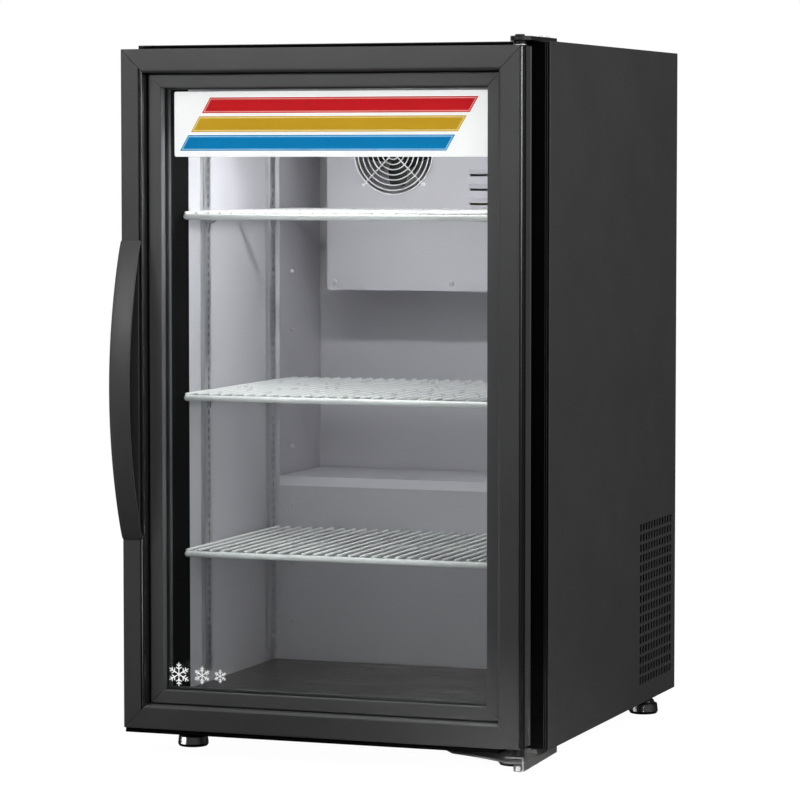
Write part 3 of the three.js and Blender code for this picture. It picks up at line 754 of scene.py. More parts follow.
def build_header():
    """White sign panel with three slanted stripes, each with a fine light keyline."""
    xs, ys, zs = span("header_panel")
    panel = Shape()
    panel.slab(((ys[0], 0.4), (ys[0] + 0.4, 0), (ys[1], 0)), "y", xs, zs, 2.5)
    piece("header_sign_panel", panel, SIGN_PAINTED_GLOW, "door", ("header_panel",), sharp=50)
    film = 0.12
    lean = 12.9
    tall = 22.2
    stripes = (
        ("red", srgb(0xd41a22), srgb(0xf09a94), 42.3, 443.8, 8.4),
        ("gold", srgb(0xd0a323), srgb(0xf3d98a), 25.5, 426.5, 34.9),
        ("blue", srgb(0x0080bd), srgb(0x8fcbee), 8.5, 409.5, 61.4),
    )
    for name, ink, pale, left, right, drop in stripes:
        high = zs[1] - drop
        inks = ((0.0, ink), (1.3, pale), (2.9, ink))
        for layer, (inset, colour) in enumerate(inks):
            shape = Shape()
            outline = slanted_bar(xs[0] + left, xs[0] + right, high - tall, high, lean, inset)
            face = ys[0] - 0.05 - film * layer
            shape.prism(outline, "y", face - film + 0.02, face)
            # Each ink glows faintly by emission, a painted glow rather than light from a lamp.
            look = printed(f"ink_{name}_{layer}", colour, 0.25)
            piece(f"header_{name}_stripe_{layer}", shape, look, "door")


def snowflake(shape, x, z, reach, y0, y1):
    """Six branched arms of even width, as a flat film."""
    width = reach * 0.085
    for arm in range(6):
        t = math.radians(60 * arm + 30)
        strokes = [((0, 0), (reach, 0))]
        for along, length in ((0.45, 0.3), (0.7, 0.24)):
            for side in (-1, 1):
                tip = (along * reach + length * reach * 0.5, side * length * reach * 0.866)
                strokes.append(((along * reach, 0), tip))
        for start, end in strokes:
            shape.prism(spun(stroke(start, end, width), (x, z), t), "y", y0, y1)


def build_decal():
    """Generic snowflakes printed on the outer pane, low on the handle side."""
    xs, ys, zs = span("outer_glass")
    film = 0.15
    shape = Shape()
    for x, reach in ((38, 17), (74, 13), (102, 10)):
        snowflake(shape, xs[0] + x, zs[0] + 38, reach, ys[0] - film - 0.05, ys[0] - 0.05)
    # The decal ink glows by emission, a painted glow on the glass.
    piece("frost_decal", shape, printed("decal_ink_painted_glow", srgb(0xf2f2f2), 0.5), "door")


def build_gasket():
    """Magnetic gasket: a flat sealing face, a bellows fold behind it and a dart into the door."""
    xs, ys, zs = span("door_gasket")
    wide = 13.0
    near, far = ys
    inner = [(1.3, far), (0.5, far - 0.8), (0.5, far - 4.2), (2.5, far - 5.6)]
    inner += [(0.2, far - 7.6), (2.6, far - 9.6), (0, near + 3), (0, near)]
    section = inner[::-1] + [(wide - a, y) for a, y in inner]
    shape = Shape()
    shape.frame(section, xs, zs)
    piece("door_gasket_bellows", shape, GASKET, "door", ("door_gasket",))


def build_handle():
    """Bowed strap with a closed outer cheek; fingers reach in from the glass side."""
    xs, ys, zs = span("door_handle")
    base = ys[1]
    bow = ys[1] - ys[0]
    strap, cheek, crown, root = 3.4, 2.5, 0.8, 1.5
    middle, half = sum(zs) / 2, (zs[1] - zs[0]) / 2
    shares = (0, 0.04, 0.2, 0.5, 0.8, 0.96, 1)
    stations = 72
    rings = []
    for i in range(stations + 1):
        t = -math.cos(math.pi * i / stations)
        z = middle + t * half
        outer = base - root - (bow - root) * math.cos(t * math.pi / 2) ** 0.8
        inner = min(base - 0.01, outer + strap) if abs(t) < 0.975 else base - 0.01
        front = [(xs[0] + (xs[1] - xs[0]) * s, outer + crown * (2 * s - 1) ** 4) for s in shares]
        back = [(xs[1] - 0.4, inner), (xs[0] + cheek, inner), (xs[0] + cheek, base), (xs[0], base)]
        rings.append([(x, y, z) for x, y in front + back])
    shape = Shape()
    shape.loft(rings)
    piece("door_handle_strap", shape, DOOR_COAT, "door", ("door_handle",), sharp=38)


def build_closer():
    """Torsion rod in its tube inside the hinge-side rail."""
    xs, ys, zs = span("torsion_closer")
    radius = (xs[1] - xs[0]) / 2
    neck = radius - 0.8
    pitch = 40
    start, stop = int(zs[0]) + 20, int(zs[1]) - 20
    profile = [(0, zs[0]), (radius - 1, zs[0]), (radius, zs[0] + 1)]
    groove = ((radius, 0), (neck, 1), (neck, 3), (radius, 4))
    profile += repeated(groove, start, len(range(start, stop, pitch)), pitch)
    profile += [(radius, zs[1] - 1), (radius - 1, zs[1]), (0, zs[1])]
    shape = Shape()
    shape.lathe(profile, "z", centre_of("torsion_closer", "xy"), 24)
    piece("torsion_closer_tube", shape, ZINC, "door", ("torsion_closer",))


# ---- Outer case ---------------------------------------------------------------------------------

VENT = {"columns": 12, "rows": 16, "pitch_y": 14.8, "pitch_z": 15.5, "width": 9.8, "height": 11.6}
SKIN = 1.2  # sheet thickness
FLANGE = 26.0  # how far the case's front edges turn in
BEND = 1.4  # outer radius of the sheet's folds


def build_side_panels():
    """Folded side skins; a block of slots low at the rear cools the machine compartment."""
    rear_flange = 18.0
    field_start = CASE_Y[1] - 21 - VENT["columns"] * VENT["pitch_y"]
    field_low = 57.0
    cuts_y = [field_start + VENT["pitch_y"] * i for i in range(VENT["columns"] + 1)]
    cuts_z = [field_low + VENT["pitch_z"] * i for i in range(VENT["rows"] + 1)]
    inner = CASE_HALF - BEND
    path = [(CASE_HALF - FLANGE, 0)] + arc((inner, BEND), BEND, 270, 360, 5)
    first = len(path)
    path += [(CASE_HALF, y) for y in cuts_y]
    path += arc((inner, CASE_Y[1] - BEND), BEND, 0, 90, 5) + [(CASE_HALF - rear_flange, CASE_Y[1])]
    levels = [CASE_Z[0]] + cuts_z + [CASE_Z[1]]
    slot_size = (VENT["width"] / 2, VENT["height"] / 2, 1.6)

    def vent(i, j):
        inside = first <= i < first + VENT["columns"] and 1 <= j <= VENT["rows"]
        return slot_size if inside else None

    for name, side in SIDES:
        shape = Shape()
        mirrored = [(side * x, y) for x, y in path]
        shape.folded_sheet(mirrored, levels, side * SKIN, hole=vent)
        node = name + "_side_panel"
        piece(node + "_skin", shape, COAT, "cabinet", (node,), sharp=30)


def build_top_panel():
    """Top sheet, with a narrower lip folded down between the side flanges."""
    half = span("top_panel")[0][1]
    top = CASE_Z[1]
    seam = (4, top)
    inner = CASE_HALF - FLANGE - 0.4
    lip = [(0, top - FLANGE)] + arc((BEND, top - BEND), BEND, 180, 90, 5) + [seam]
    shape = Shape()
    shape.folded_sheet(lip, [-inner, inner], -SKIN, "x")
    shape.folded_sheet([seam, (CASE_Y[1] - 2, top)], [-half, half], -SKIN, "x")
    piece("top_panel_skin", shape, COAT, "cabinet", ("top_panel",), sharp=30)


def build_feet():
    """Levelling feet: rubber disc in a steel sleeve, dome, hexagon and threaded stem."""
    profile = [(3.2, 0), (2.0, 0.4), (0.4, 3.0), (0, 4.0), (2, 4.3), (2.6, 14.4), (1.3, 14.7)]
    profile += [(1.6, 15.8), (3.0, 16.4), (5.2, 17.2), (6.2, 20.0), (7.2, 21.6)]
    band = [(1.8, 4.4), (0.1, 4.4), (1.3, 14.3), (2.4, 14.3)]
    thread = [(0, 27.7)] + repeated(((5.2, 0), (6.0, 0.8)), 27.7, 10, 1.6) + [(5.2, 43.7), (0, 43.9)]
    for foot in FEET:
        centre = centre_of(foot, "xy")
        xs = span(foot)[0]
        radius = (xs[1] - xs[0]) / 2
        shape = Shape()
        pad = [(0, 0)] + [(radius - inset, z) for inset, z in profile] + [(8.0, 22.4), (0, 22.4)]
        shape.lathe(pad, "z", centre, 48)
        piece(foot + "_pad", shape, FOOT, foot, (foot,), sharp=40)
        sleeve = Shape()
        sleeve.lathe([(radius - inset, z) for inset, z in band], "z", centre, 64, closed=True)
        piece(foot + "_sleeve", sleeve, FOOT_STEEL, foot, sharp=40)
        stem = Shape()
        stem.prism(circle(centre, 9.0, 6, 30), "z", 22.45, 27.6)
        stem.lathe(thread, "z", centre, 24)
        piece(foot + "_stem", stem, ZINC, foot, sharp=30)


# ---- Inner cabinet ------------------------------------------------------------------------------


def build_breaker():
    """Black moulded frame round the mouth: a grooved face and a rounded lip into the cavity."""
    xs, ys, zs = span("breaker_frame")
    edge = span("left_liner")[0][1] - xs[0]
    face = [(0.4, 0.5), (1.0, 0.05), (8.5, 0.05), (9.0, 0.8), (10.0, 0.8), (10.5, 0.05)]
    lip = [(-2.0, 0.05), (-0.4, 0.6), (1.2, 2.4), (1.45, 5.0), (1.2, ys[1] - 1.0), (0.6, ys[1])]
    lip += [(-0.9, ys[1]), (-0.9, 2.0)]
    section = face + [(edge + past, y) for past, y in lip] + [(0.4, 2.0)]
    shape = Shape()
    shape.frame(section, xs, zs)
    piece("breaker_frame_moulding", shape, BLACK_AND_PAINTED_SHADE, "cabinet", ("breaker_frame",), sharp=30)


def slotted_standard(name, side):
    """Rolled channel with a slot every half inch, and a bent clip under each shelf."""
    xs, ys, zs = span(name)
    wall = side * max(abs(xs[0]), abs(xs[1]))
    face = wall - side * 6.0
    y0, y1 = ys
    lip = 1.6
    edge = [(6.0, 0), (lip, 0), (0.5, 0.5), (0, lip), (0, 7.5)]
    path = [(face + side * a, y0 + b) for a, b in edge]
    path += [(face + side * a, y1 - b) for a, b in reversed(edge)]
    pitch = 12.7
    count = int((zs[1] - zs[0] - 10) // pitch)
    start = zs[0] + (zs[1] - zs[0] - count * pitch) / 2
    levels = [zs[0]] + [start + pitch * i for i in range(count + 1)] + [zs[1]]

    def slot(i, j):
        return (1.7, 3.6, 0.8) if i == 4 and 1 <= j <= count else None

    shape = Shape()
    shape.folded_sheet(path, levels, side * 1.2, hole=slot)
    piece(name + "_channel", shape, ALUMINIUM, "cabinet", (name,), sharp=30)
    clips = Shape()
    middle = (y0 + y1) / 2
    hook = [(-0.4, 15), (1.5, 16), (3.0, 8), (10.5, 4.4), (12, 3.0), (12, 0.6), (11.2, 0), (-0.4, 0)]
    deck = [(-0.2, 2.0), (12, 2.0), (12, 0), (-0.2, 0)]
    for shelf in SHELVES:
        seat = span(shelf)[2][0] - 0.3
        for outline, start, end in ((hook, -7.5, -4.5), (hook, 4.5, 7.5), (deck, -4.6, 4.6)):
            placed = [(face - side * out, seat - down) for out, down in outline]
            clips.prism(placed, "y", middle + start, middle + end)
    piece(name + "_clips", clips, ZINC, "cabinet", sharp=30)


def build_shelf(name):
    """Coated wire shelf: front-to-back wires with rounded tips laid over round rails."""
    xs, ys, zs = span(name)
    front_rail, rail, wire = 4.5, 3.2, 2.4
    rail_z = zs[0] + front_rail
    top = rail_z + front_rail + 0.6
    gaps, pitch = 28, 17.9
    shape = Shape()
    rails = ((ys[0] + front_rail, front_rail), (sum(ys) / 2, rail), (ys[1] - front_rail, rail))
    for y, radius in rails:
        shape.rod((xs[0], y, rail_z), (xs[1], y, rail_z), radius, 16)
    for x in (xs[0] + rail, xs[1] - rail):
        shape.rod((x, ys[0] + 4, rail_z), (x, ys[1] - 4, rail_z), rail, 12)
    for i in range(gaps + 1):
        x = (i - gaps / 2) * pitch
        shape.rod((x, ys[0] + 2.6, top), (x, ys[1] - 2, top), wire, 10)
    piece(name + "_wirework", shape, WHITE_COAT, name, (name,), sharp=45)


def eased(names, width):
    """Rounds the long edges of CAD nodes that keep their own shape."""
    for name in names:
        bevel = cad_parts[name].modifiers.new("eased_edges", "BEVEL")
        bevel.width = width * MM
        bevel.segments = 2
        bevel.limit_method = "ANGLE"
        bevel.angle_limit = math.radians(50)


def build_mouth_shade_and_beads():
    """Near-black strip round the case's mouth that paints the shade behind the door, and two pressed beads by
    each front corner.
    """
    levels = (CASE_Z[0] + 1, CASE_Z[1] - 1)
    reach = 308.6
    strip = Shape()
    section = [(0, -0.22), (0.3, -0.28), (32.1, -0.28), (32.6, -0.22), (32.6, 0), (0, 0)]
    strip.frame(section, (-reach, reach), levels)
    piece("mouth_painted_shade_strip", strip, BLACK_AND_PAINTED_SHADE)
    beads = Shape()
    for _, side in SIDES:
        for inset in (4.4, 7.2):
            beads.prism(arc((side * (CASE_HALF - inset), 0.0), 0.7, 180, 360), "z", *levels)
    piece("corner_beads", beads, TRIM)


# ---- Hinges -------------------------------------------------------------------------------------


def build_hinges():
    """Bolts, washer stacks and nuts of the two door pivots, and the bracket's bare cut edge."""
    centre = centre_of("top_hinge_pin", "xy")
    foot, top = span("top_hinge_pin")[2]
    plate = span("top_hinge_plate")[2][1]
    low = DOOR_Z[1] + 0.4
    stack = Shape()
    profile = [(0, foot), (4.4, foot), (5, foot + 0.8), (5, low)]
    z = DOOR_Z[1] + 1.7
    for radius, thick in ((8.6, 1.2), (7.4, 0.5), (8.8, 1.4), (7.2, 0.4), (8.2, 0.9)):
        profile += [(radius - 0.2, z), (radius, z + 0.2)]
        profile += [(radius, z + thick - 0.2), (radius - 0.2, z + thick)]
        z += thick + 0.02
    profile += [(5, z), (5, plate + 0.4), (6.9, plate + 0.5), (6.9, top - 0.9), (5.8, top), (0, top)]
    stack.lathe(profile, "z", centre, 32)
    piece("top_hinge_pin_stack", stack, TRIM, "cabinet", ("top_hinge_pin",), sharp=30)
    ring = Shape()
    profile = [(5.2, low), (8.8, low), (9, low + 0.3), (9, low + 0.9), (8.8, low + 1.2), (5.2, low + 1.2)]
    ring.lathe(profile, "z", centre, 40, closed=True)
    piece("top_pivot_ring", ring, CHROME)
    bolts = Shape()
    washer = [(0, plate), (5.6, plate), (5.6, plate + 0.6), (0, plate + 0.6)]
    for place in product((264, 286), (60, 30)):
        bolts.lathe(washer, "z", place, 24)
        bolts.prism(circle(place, 4.4, 6), "z", plate + 0.62, plate + 2.2)
    piece("top_hinge_bolts", bolts, ZINC, sharp=30)

    centre = centre_of("bottom_hinge_pin", "xy")
    under, tip = span("bottom_hinge_pin")[2]
    high = DOOR_Z[0] - 0.4
    low = high - 15.2
    shank = Shape()
    profile = [(0, under + 9.2), (4.6, under + 9.2)]
    profile += repeated(((4.6, 0), (5.1, 0.6)), under + 9.4, 3, 1.3)
    profile += [(4.9, under + 13.3), (4.9, low), (8.8, low)]
    profile += repeated(((8.8, 0), (7.9, 0.5), (7.9, 1.0), (8.8, 1.5)), low + 0.4, 7, 2.0)
    profile += [(8.8, high), (4.9, high), (4.9, tip - 0.6), (4.3, tip), (0, tip)]
    shank.lathe(profile, "z", centre, 28)
    piece("bottom_hinge_pin_bushing", shank, TRIM, "cabinet", ("bottom_hinge_pin",), sharp=30)
    hexnut = Shape()
    rows = ((6.0, 0), (6.9, 1.2), (6.9, 7.6), (6.0, 8.8))
    hexnut.loft([[(*p, under + z) for p in circle(centre, radius, 6, 15)] for radius, z in rows])
    piece("bottom_hinge_nut", hexnut, CHROME, sharp=20)
    (_, right), (front, _), (base, high) = span("bottom_hinge_bracket")
    bare = Shape()
    outline = [(268.5, high - 2.6), (268.5, high - 0.2), (right - 0.2, high - 0.2)]
    outline += [(right - 0.2, base + 0.6), (right - 2.8, base + 0.6), (right - 2.8, high - 2.6)]
    bare.prism(outline, "y", front - 0.25, front - 0.05)
    piece("bracket_bare_edge", bare, CHROME, sharp=20)
    screws = Shape()
    screws.screws("z", ((262, 66), (215, 60), (284, 20)), base + 9.48, -1, 5)
    piece("bottom_bracket_screws", screws, ZINC, sharp=30)


# ---- Evaporator, lamp and controls --------------------------------------------------------------

EVAPORATOR_FAN = (-95, 862)  # x, z
CONDENSER_FAN = (545, 175)  # y, z
COMPRESSOR = (-150, 545)  # x, y


def fan(shape, axis, centre, height, blades, reach, hub, chord):
    """A moulded hub with cambered, twisted blades."""
    half = chord * 0.26
    low, high = height - half, height + half
    dome = [(0, low), (hub - 2, low), (hub, low + 2), (hub, high - 3)]
    dome += [(hub - 2, high - 1), (hub * 0.5, high), (0, high)]
    shape.lathe(dome, axis, centre, 32)
    steps, cuts = 7, 8
    root = hub - 1.5
    for blade in range(blades):
        turned = 2 * math.pi * blade / blades
        rings = []
        for i in range(steps + 1):
            share = i / steps
            radius = root + (reach - root) * share
            pitch = math.radians(38 - 14 * share)
            width = chord * (0.72 + 0.24 * math.sin(math.pi * share * 0.8)) * (1 - 0.25 * share ** 6)
            ring = []
            for face, line in ((0.75, range(cuts + 1)), (-0.75, range(cuts, -1, -1))):
                for k in line:
                    s = k / cuts - 0.5
                    camber = 0.09 * width * (1 - 4 * s * s) + face * (1 - 3.2 * s * s)
                    across = s * width * math.cos(pitch) - camber * math.sin(pitch)
                    along = s * width * math.sin(pitch) + camber * math.cos(pitch)
                    angle = turned + across / max(radius, 8)
                    a = centre[0] + radius * math.cos(angle)
                    b = centre[1] + radius * math.sin(angle)
                    ring.append(turn(axis, a, b, height + along))
            rings.append(ring)
        shape.loft(rings)


def build_evaporator():
    """Fan, guard, motor and finned coil, with the cover's louvre lips and screws."""
    xs, (face, _), zs = span("evaporator_cover")
    y0, y1 = span("evaporator_fan_motor")[1]
    fan_x, fan_z = EVAPORATOR_FAN
    (hub,) = centre_of("evaporator_fan_blade", "y")
    blades = Shape()
    fan(blades, "y", EVAPORATOR_FAN, span("evaporator_fan_blade")[1][0] + 10.4, 4, 52, 13, 32)
    blades.lathe([(0, hub), (3.8, hub), (3.8, y0 - 0.6), (0, y0 - 0.6)], "y", EVAPORATOR_FAN, 16)
    node = "evaporator_fan_blade"
    piece("evaporator_fan_impeller", blades, TRIM, "evaporator_fan", (node,))
    guard = Shape()
    for radius in (10, 18, 26, 34, 42, 50, 58, 64):
        ring = circle(EVAPORATOR_FAN, radius, 48)
        guard.tube([(a, face - 2.2, b) for a, b in ring], 0.9, 8, closed=True)
    inner, outer = [circle(EVAPORATOR_FAN, radius, 4, 45) for radius in (8, 69)]
    for near, far in zip(inner, outer):
        guard.rod(turn("y", *near, face - 1.2), turn("y", *far, face - 1.2), 1.1, 8)
    guard.screws("y", outer, face, -1, 3.4)
    piece("evaporator_fan_guard", guard, WHITE_COAT, sharp=40)
    trim = Shape()
    lip = [(0, 10.5), (1.2, 10.2), (5.5, 4.5), (5.5, 3.6), (4.6, 3.6), (0.6, 8.6), (0, 8.6)]
    for low in (760, 782, 804, 826):
        trim.prism([(face - out, low + rise) for out, rise in lip], "x", 28, 182)
    trim.screws("y", product((xs[0] + 12, 0, xs[1] - 12), (zs[0] + 12, zs[1] - 12)), face, -1)
    piece("evaporator_cover_trim", trim, LINER, sharp=30)
    body = Shape()
    can = [(0, y0), (14, y0), (21, y0 + 2)]
    can += repeated(((22.4, 0), (24, 0.8), (24, 2.4), (22.4, 3.2)), y0 + 5, 5, 5)
    can += [(23, y1 - 6), (19, y1 - 1), (0, y1)]
    body.lathe(can, "y", EVAPORATOR_FAN, 32)
    for side in (-1, 1):
        arm = (fan_x + side * 22, fan_x + side * 60)
        body.block(arm, (y1 - 8, y1 - 5), (fan_z - 8, fan_z + 8), 3)
        body.screw("y", fan_x + side * 52, fan_z, y1 - 8, -1, 3.4)
    node = "evaporator_fan_motor"
    piece("evaporator_motor_can", body, COMPRESSOR_PAINT, "cabinet", (node,))
    xs, ys, zs = span("evaporator_coil")
    box = (xs, (ys[0] + 1, ys[1] - 1), (zs[0] + 1, zs[1] - 1))
    build_coil("evaporator_coil", "x", box, 4, 4, 42, ALUMINIUM, COPPER)


def build_coil(node, axis, box, rows, columns, fins, fin_look, tube_look):
    """Fins on tubes that run along axis and turn back in U bends past the end plates."""
    order = {"x": (0, 1, 2), "y": (1, 0, 2)}[axis]
    along, across, up = [box[k] for k in order]
    ends = (along[0] + 9, along[1] - 9)
    waves = [(across[0] + (across[1] - across[0]) * k / 6, 0.8 * (k % 2)) for k in range(7)]
    ripple = [(a, up[0] + wave) for a, wave in waves] + [(a, up[1] - wave) for a, wave in waves[::-1]]
    plates = Shape()
    for i in range(fins):
        start = ends[0] + (ends[1] - ends[0]) * i / (fins - 1)
        half = 0.7 if i in (0, fins - 1) else 0.175
        plates.prism(ripple, axis, start - half, start + half)
    piece(node + "_fins", plates, fin_look, "cabinet", (node,), sharp=30)
    tubes = Shape()
    radius = 3.6
    for i in range(columns):
        place = across[0] + (across[1] - across[0]) * (i + 0.5) / columns
        levels = [up[0] + (up[1] - up[0]) * (k + 0.5) / rows for k in range(rows)]
        for level in levels:
            tubes.rod(*[turn(axis, place, level, h) for h in ends], radius, 12)
        for k, (low, high) in enumerate(zip(levels, levels[1:])):
            end, out = (ends[0], -1) if k % 2 else (ends[1], 1)
            bend = [(0, low), (4, low), (5, low + 2), (5, high - 2), (4, high), (0, high)]
            points = [turn(axis, place, level, end + out * h) for h, level in bend]
            tubes.tube(filleted(points, 1.0, 3), radius, 12)
    piece(node + "_tubes", tubes, tube_look, sharp=60)


def build_lamp():
    """Ribbed lens under the lamp housing."""
    xs, ys, zs = span("lamp_lens")
    lens = Shape()
    section = [(ys[0], zs[1]), (ys[0], zs[0] + 2.6), (ys[0] + 1.2, zs[0] + 1.2)]
    count = 14
    pitch = (ys[1] - ys[0] - 4) / count
    for rib in range(count):
        y = ys[0] + 2 + pitch * rib
        section += [(y, zs[0] + 0.7), (y + pitch * 0.5, zs[0])]
    section += [(ys[1] - 1.2, zs[0] + 1.2), (ys[1], zs[0] + 2.6), (ys[1], zs[1])]
    lens.prism(section, "x", *xs)
    piece("lamp_lens_ribbed", lens, LENS, "cabinet", ("lamp_lens",), sharp=20)


def build_controls():
    """Thermostat knob with a fluted skirt and printed scale, and the light's rocker."""
    knob_node, switch_node = "thermostat_knob", "light_switch"
    near, far = span(knob_node)[1]
    centre = x, z = centre_of(knob_node, "xz")
    face = span("evaporator_cover")[1][0]
    front = near + 4
    flutes = 24
    rings = []
    for radius, y, flute in (
        (19.6, face - 0.8, 0), (19.6, face - 2.4, 0), (17.2, face - 3.2, 0.5), (16.2, front + 2.0, 0.6),
        (14.8, front + 0.2, 0.3), (12, front, 0),
    ):
        turns = [math.radians(5 * i) for i in range(72)]
        radii = [radius - flute * (1 + math.cos(t * flutes)) for t in turns]
        rings.append([(x + r * math.cos(t), y, z + r * math.sin(t)) for r, t in zip(radii, turns)])
    knob = Shape()
    knob.loft(rings)
    grip = rounded_rectangle((x - 3, x + 3), (z - 14.5, z + 14.5), 2.6)
    tip = rounded_rectangle((x - 2, x + 2), (z - 13.5, z + 13.5), 1.8)
    levels = ((grip, front - 0.02), (grip, near + 0.8), (tip, near))
    knob.loft([[turn("y", *p, y) for p in ring] for ring, y in levels])
    spindle = [(0, face - 0.78), (2.9, face - 0.78), (2.9, far - 0.5), (2.2, far), (0, far)]
    knob.lathe(spindle, "y", centre, 20)
    piece("thermostat_knob_fluted", knob, TRIM, knob_node, (knob_node,), sharp=40)
    mark = Shape()
    mark.block((x - 0.6, x + 0.6), (near, near + 0.3), (z + 4, z + 12), 0.5)
    # The pointer glows with the sign's painted emission.
    piece("thermostat_pointer", mark, SIGN_PAINTED_GLOW, knob_node)
    scale = Shape()
    for tick in range(11):
        reach = 26.5 if tick % 5 else 29
        bar = spun(stroke((23, 0), (reach, 0), 1.0), centre, math.radians(30 * tick - 60))
        scale.prism(bar, "y", face - 0.2, face - 0.02)
    piece("thermostat_scale", scale, TRIM)
    xs, (near, far), zs = span(switch_node)
    rings = []
    for x, inset in ((xs[0] + 0.3, 0.5), (xs[0] + 0.8, 0), (xs[1] - 0.8, 0), (xs[1] - 0.3, 0.5)):
        low, high = zs[0] + inset + 0.9, zs[1] - inset - 0.9
        curve = [(4, low), (3.2, low + 5), (3.0, (low + high) / 2), (1.6, high - 5), (0, high)]
        ring = [(x, near + inset + depth, z) for depth, z in curve]
        rings.append(ring + [(x, far, high - 2), (x, far, low + 2)])
    rocker = Shape()
    rocker.loft(rings)
    piece("light_switch_rocker", rocker, TRIM, switch_node, (switch_node,), sharp=30)
    bezel = Shape()
    section = [(0, face - 0.05), (0.4, face - 1.2), (2.2, face - 1.2), (2.6, face - 0.05)]
    bezel.frame(section, (xs[0] - 4, xs[1] + 4), (zs[0] - 4, zs[1] + 4))
    piece("light_switch_bezel", bezel, TRIM, sharp=30)


# ---- Condensing unit and rear -------------------------------------------------------------------


def build_condensing_unit():
    """Compressor can with its weld flange, mounts and pipes; condenser with fan and motor."""
    xs, _, (floor, crown) = span("compressor")
    base = floor + 10
    can = Shape()
    dome = [(0, 0), (50, 0), (60, 4), (66, 13), (68.4, 30), (68.4, 80), (70, 80.8), (70, 84), (68.4, 84.8)]
    dome += [(67.6, 104), (62, 130), (50, 146), (30, 153)]
    can.lathe([(radius, base + rise) for radius, rise in dome] + [(0, crown)], "z", COMPRESSOR, 48)
    can.prism(rounded_rectangle((xs[0], -65), (490, 600), 12), "z", floor + 6, floor + 9)
    grommet = [(0, 0), (11, 0), (11, 2), (8.6, 3), (8.6, 5), (10.5, 6), (10.5, 9.5), (4, 10.5), (0, 11)]
    for place in product((xs[0] + 16, -81), (505, 586)):
        can.lathe([(radius, floor + rise) for radius, rise in grommet], "z", place, 20)
    can.block((-90, xs[1]), (530, 560), (floor + 70, floor + 110), 4)
    can.screw("x", 545, floor + 90, xs[1], 1, 3)
    piece("compressor_can", can, COMPRESSOR_PAINT, "cabinet", ("compressor",), sharp=35)
    pipes = Shape()
    high, low = base + 92, base + 62
    discharge = [(-110, 500, high - 2), (-96, 484, high), (-20, 484, high), (-20, 484, 270), (235, 484, 282)]
    suction = [(-190, 500, low - 2), (-205, 470, low), (-205, 458, low), (-205, 458, 300)]
    for path, radius in ((discharge, 3.2), (suction, 4.2)):
        pipes.tube(filleted(path, 10), radius, 12)
    piece("refrigerant_pipes", pipes, COPPER, sharp=60)

    xs, ys, zs = span("condenser_coil")
    # The condenser's fins and tubes are near-black, which paints the shade seen through the side vents.
    build_coil("condenser_coil", "y", ((xs[0] + 1, xs[1] - 1), ys, (72, zs[1])), 5, 2, 46, BLACK_AND_PAINTED_SHADE, BLACK_AND_PAINTED_SHADE)
    feet = Shape()
    (left, right), floor, rim, sheet = xs, zs[0], 71, 1.5
    channel = [(left, floor), (right, floor), (right, rim), (right - sheet, rim)]
    channel += [(right - sheet, floor + sheet), (left + sheet, floor + sheet)]
    channel += [(left + sheet, rim), (left, rim)]
    feet.prism(channel, "y", 475, 615)
    feet.screws("z", product((sum(xs) / 2,), (490, 600)), floor + sheet, 1)
    # The base channel takes the compressor's black, which here paints the shade seen through the lowest
    # vents.
    piece("condenser_base_channel", feet, COMPRESSOR_PAINT, sharp=30)
    blades = Shape()
    node = "condenser_fan_blade"
    (hub,) = centre_of(node, "x")
    (x0, x1), _, (low, _) = span("condenser_fan_motor")
    fan(blades, "x", CONDENSER_FAN, span(node)[0][1] - 13.2, 5, 62, 20, 42)
    blades.lathe([(0, x1 + 0.6), (3.8, x1 + 0.6), (3.8, hub), (0, hub)], "x", CONDENSER_FAN, 16)
    piece("condenser_fan_impeller", blades, ALUMINIUM, "condenser_fan", (node,))
    body = Shape()
    can = [(0, x0), (22, x0), (30, x0 + 3), (35, x0 + 8)]
    can += repeated(((35.4, 0), (38, 0.8), (38, 2.2), (35.4, 3)), x0 + 11, 6, 5)
    can += [(35, x1 - 7), (30, x1 - 2), (12, x1), (0, x1)]
    body.lathe(can, "x", CONDENSER_FAN, 36)
    leg = [(515, low), (575, low), (575, low + 3), (562, low + 5), (556, 150), (534, 150)]
    body.prism(leg + [(528, low + 5), (515, low + 3)], "x", 112, 138)
    body.screws("z", ((125, 519), (125, 571)), low + 3, 1, 3)
    node = "condenser_fan_motor"
    piece("condenser_motor_can", body, COMPRESSOR_PAINT, "cabinet", (node,))
    mouth = Shape()
    face = span("condenser_fan_shroud")[0][0]
    collar = [(72.2, face - 6), (73.4, face - 6.4), (74, face - 5), (73.4, face), (72.2, face)]
    mouth.lathe(collar, "x", CONDENSER_FAN, 48, closed=True)
    mouth.screws("x", product((480, 610), (110, 240)), face, -1)
    piece("shroud_bellmouth", mouth, GALVANISED, sharp=40)


def build_electrics():
    """Junction box with a lapped lid, and the cord inlet with three recessed pins."""
    xs, ys, zs = span("electrical_box")
    lid = [(-9, 0), (-8.8, 0.7), (-8.2, 0.7), (-8, 0), (-1.2, 0), (0, 1.2)]
    levels = [(xs[0], 1), (xs[0] + 1, 0)] + [(xs[1] + offset, inset) for offset, inset in lid]
    box = Shape()
    box.slab(levels, "x", ys, zs, 4)
    box.screws("x", product((ys[0] + 10, ys[1] - 10), (zs[0] + 10, zs[1] - 10)), xs[1], 1, 3)
    piece("electrical_box_lidded", box, TRIM, "cabinet", ("electrical_box",), sharp=30)
    xs, (near, far), zs = span("cord_inlet")
    inlet = Shape()
    well = [(9, near + 2.2), (9, far - 0.6), (8.4, far), (1, far), (0, far - 1), (0, near), (9, near)]
    inlet.frame(well, xs, zs)
    inlet.block((xs[0] + 8.8, xs[1] - 8.8), (near, near + 1.6), (zs[0] + 8.8, zs[1] - 8.8), 1)
    for x, z in ((-276, 75), (-267.5, 79.5), (-259, 75)):
        inlet.block((x - 1, x + 1), (near + 1.6, far - 0.8), (z - 2.6, z + 2.6), 0.9)
    piece("cord_inlet_socket", inlet, TRIM, "cabinet", ("cord_inlet",), sharp=30)


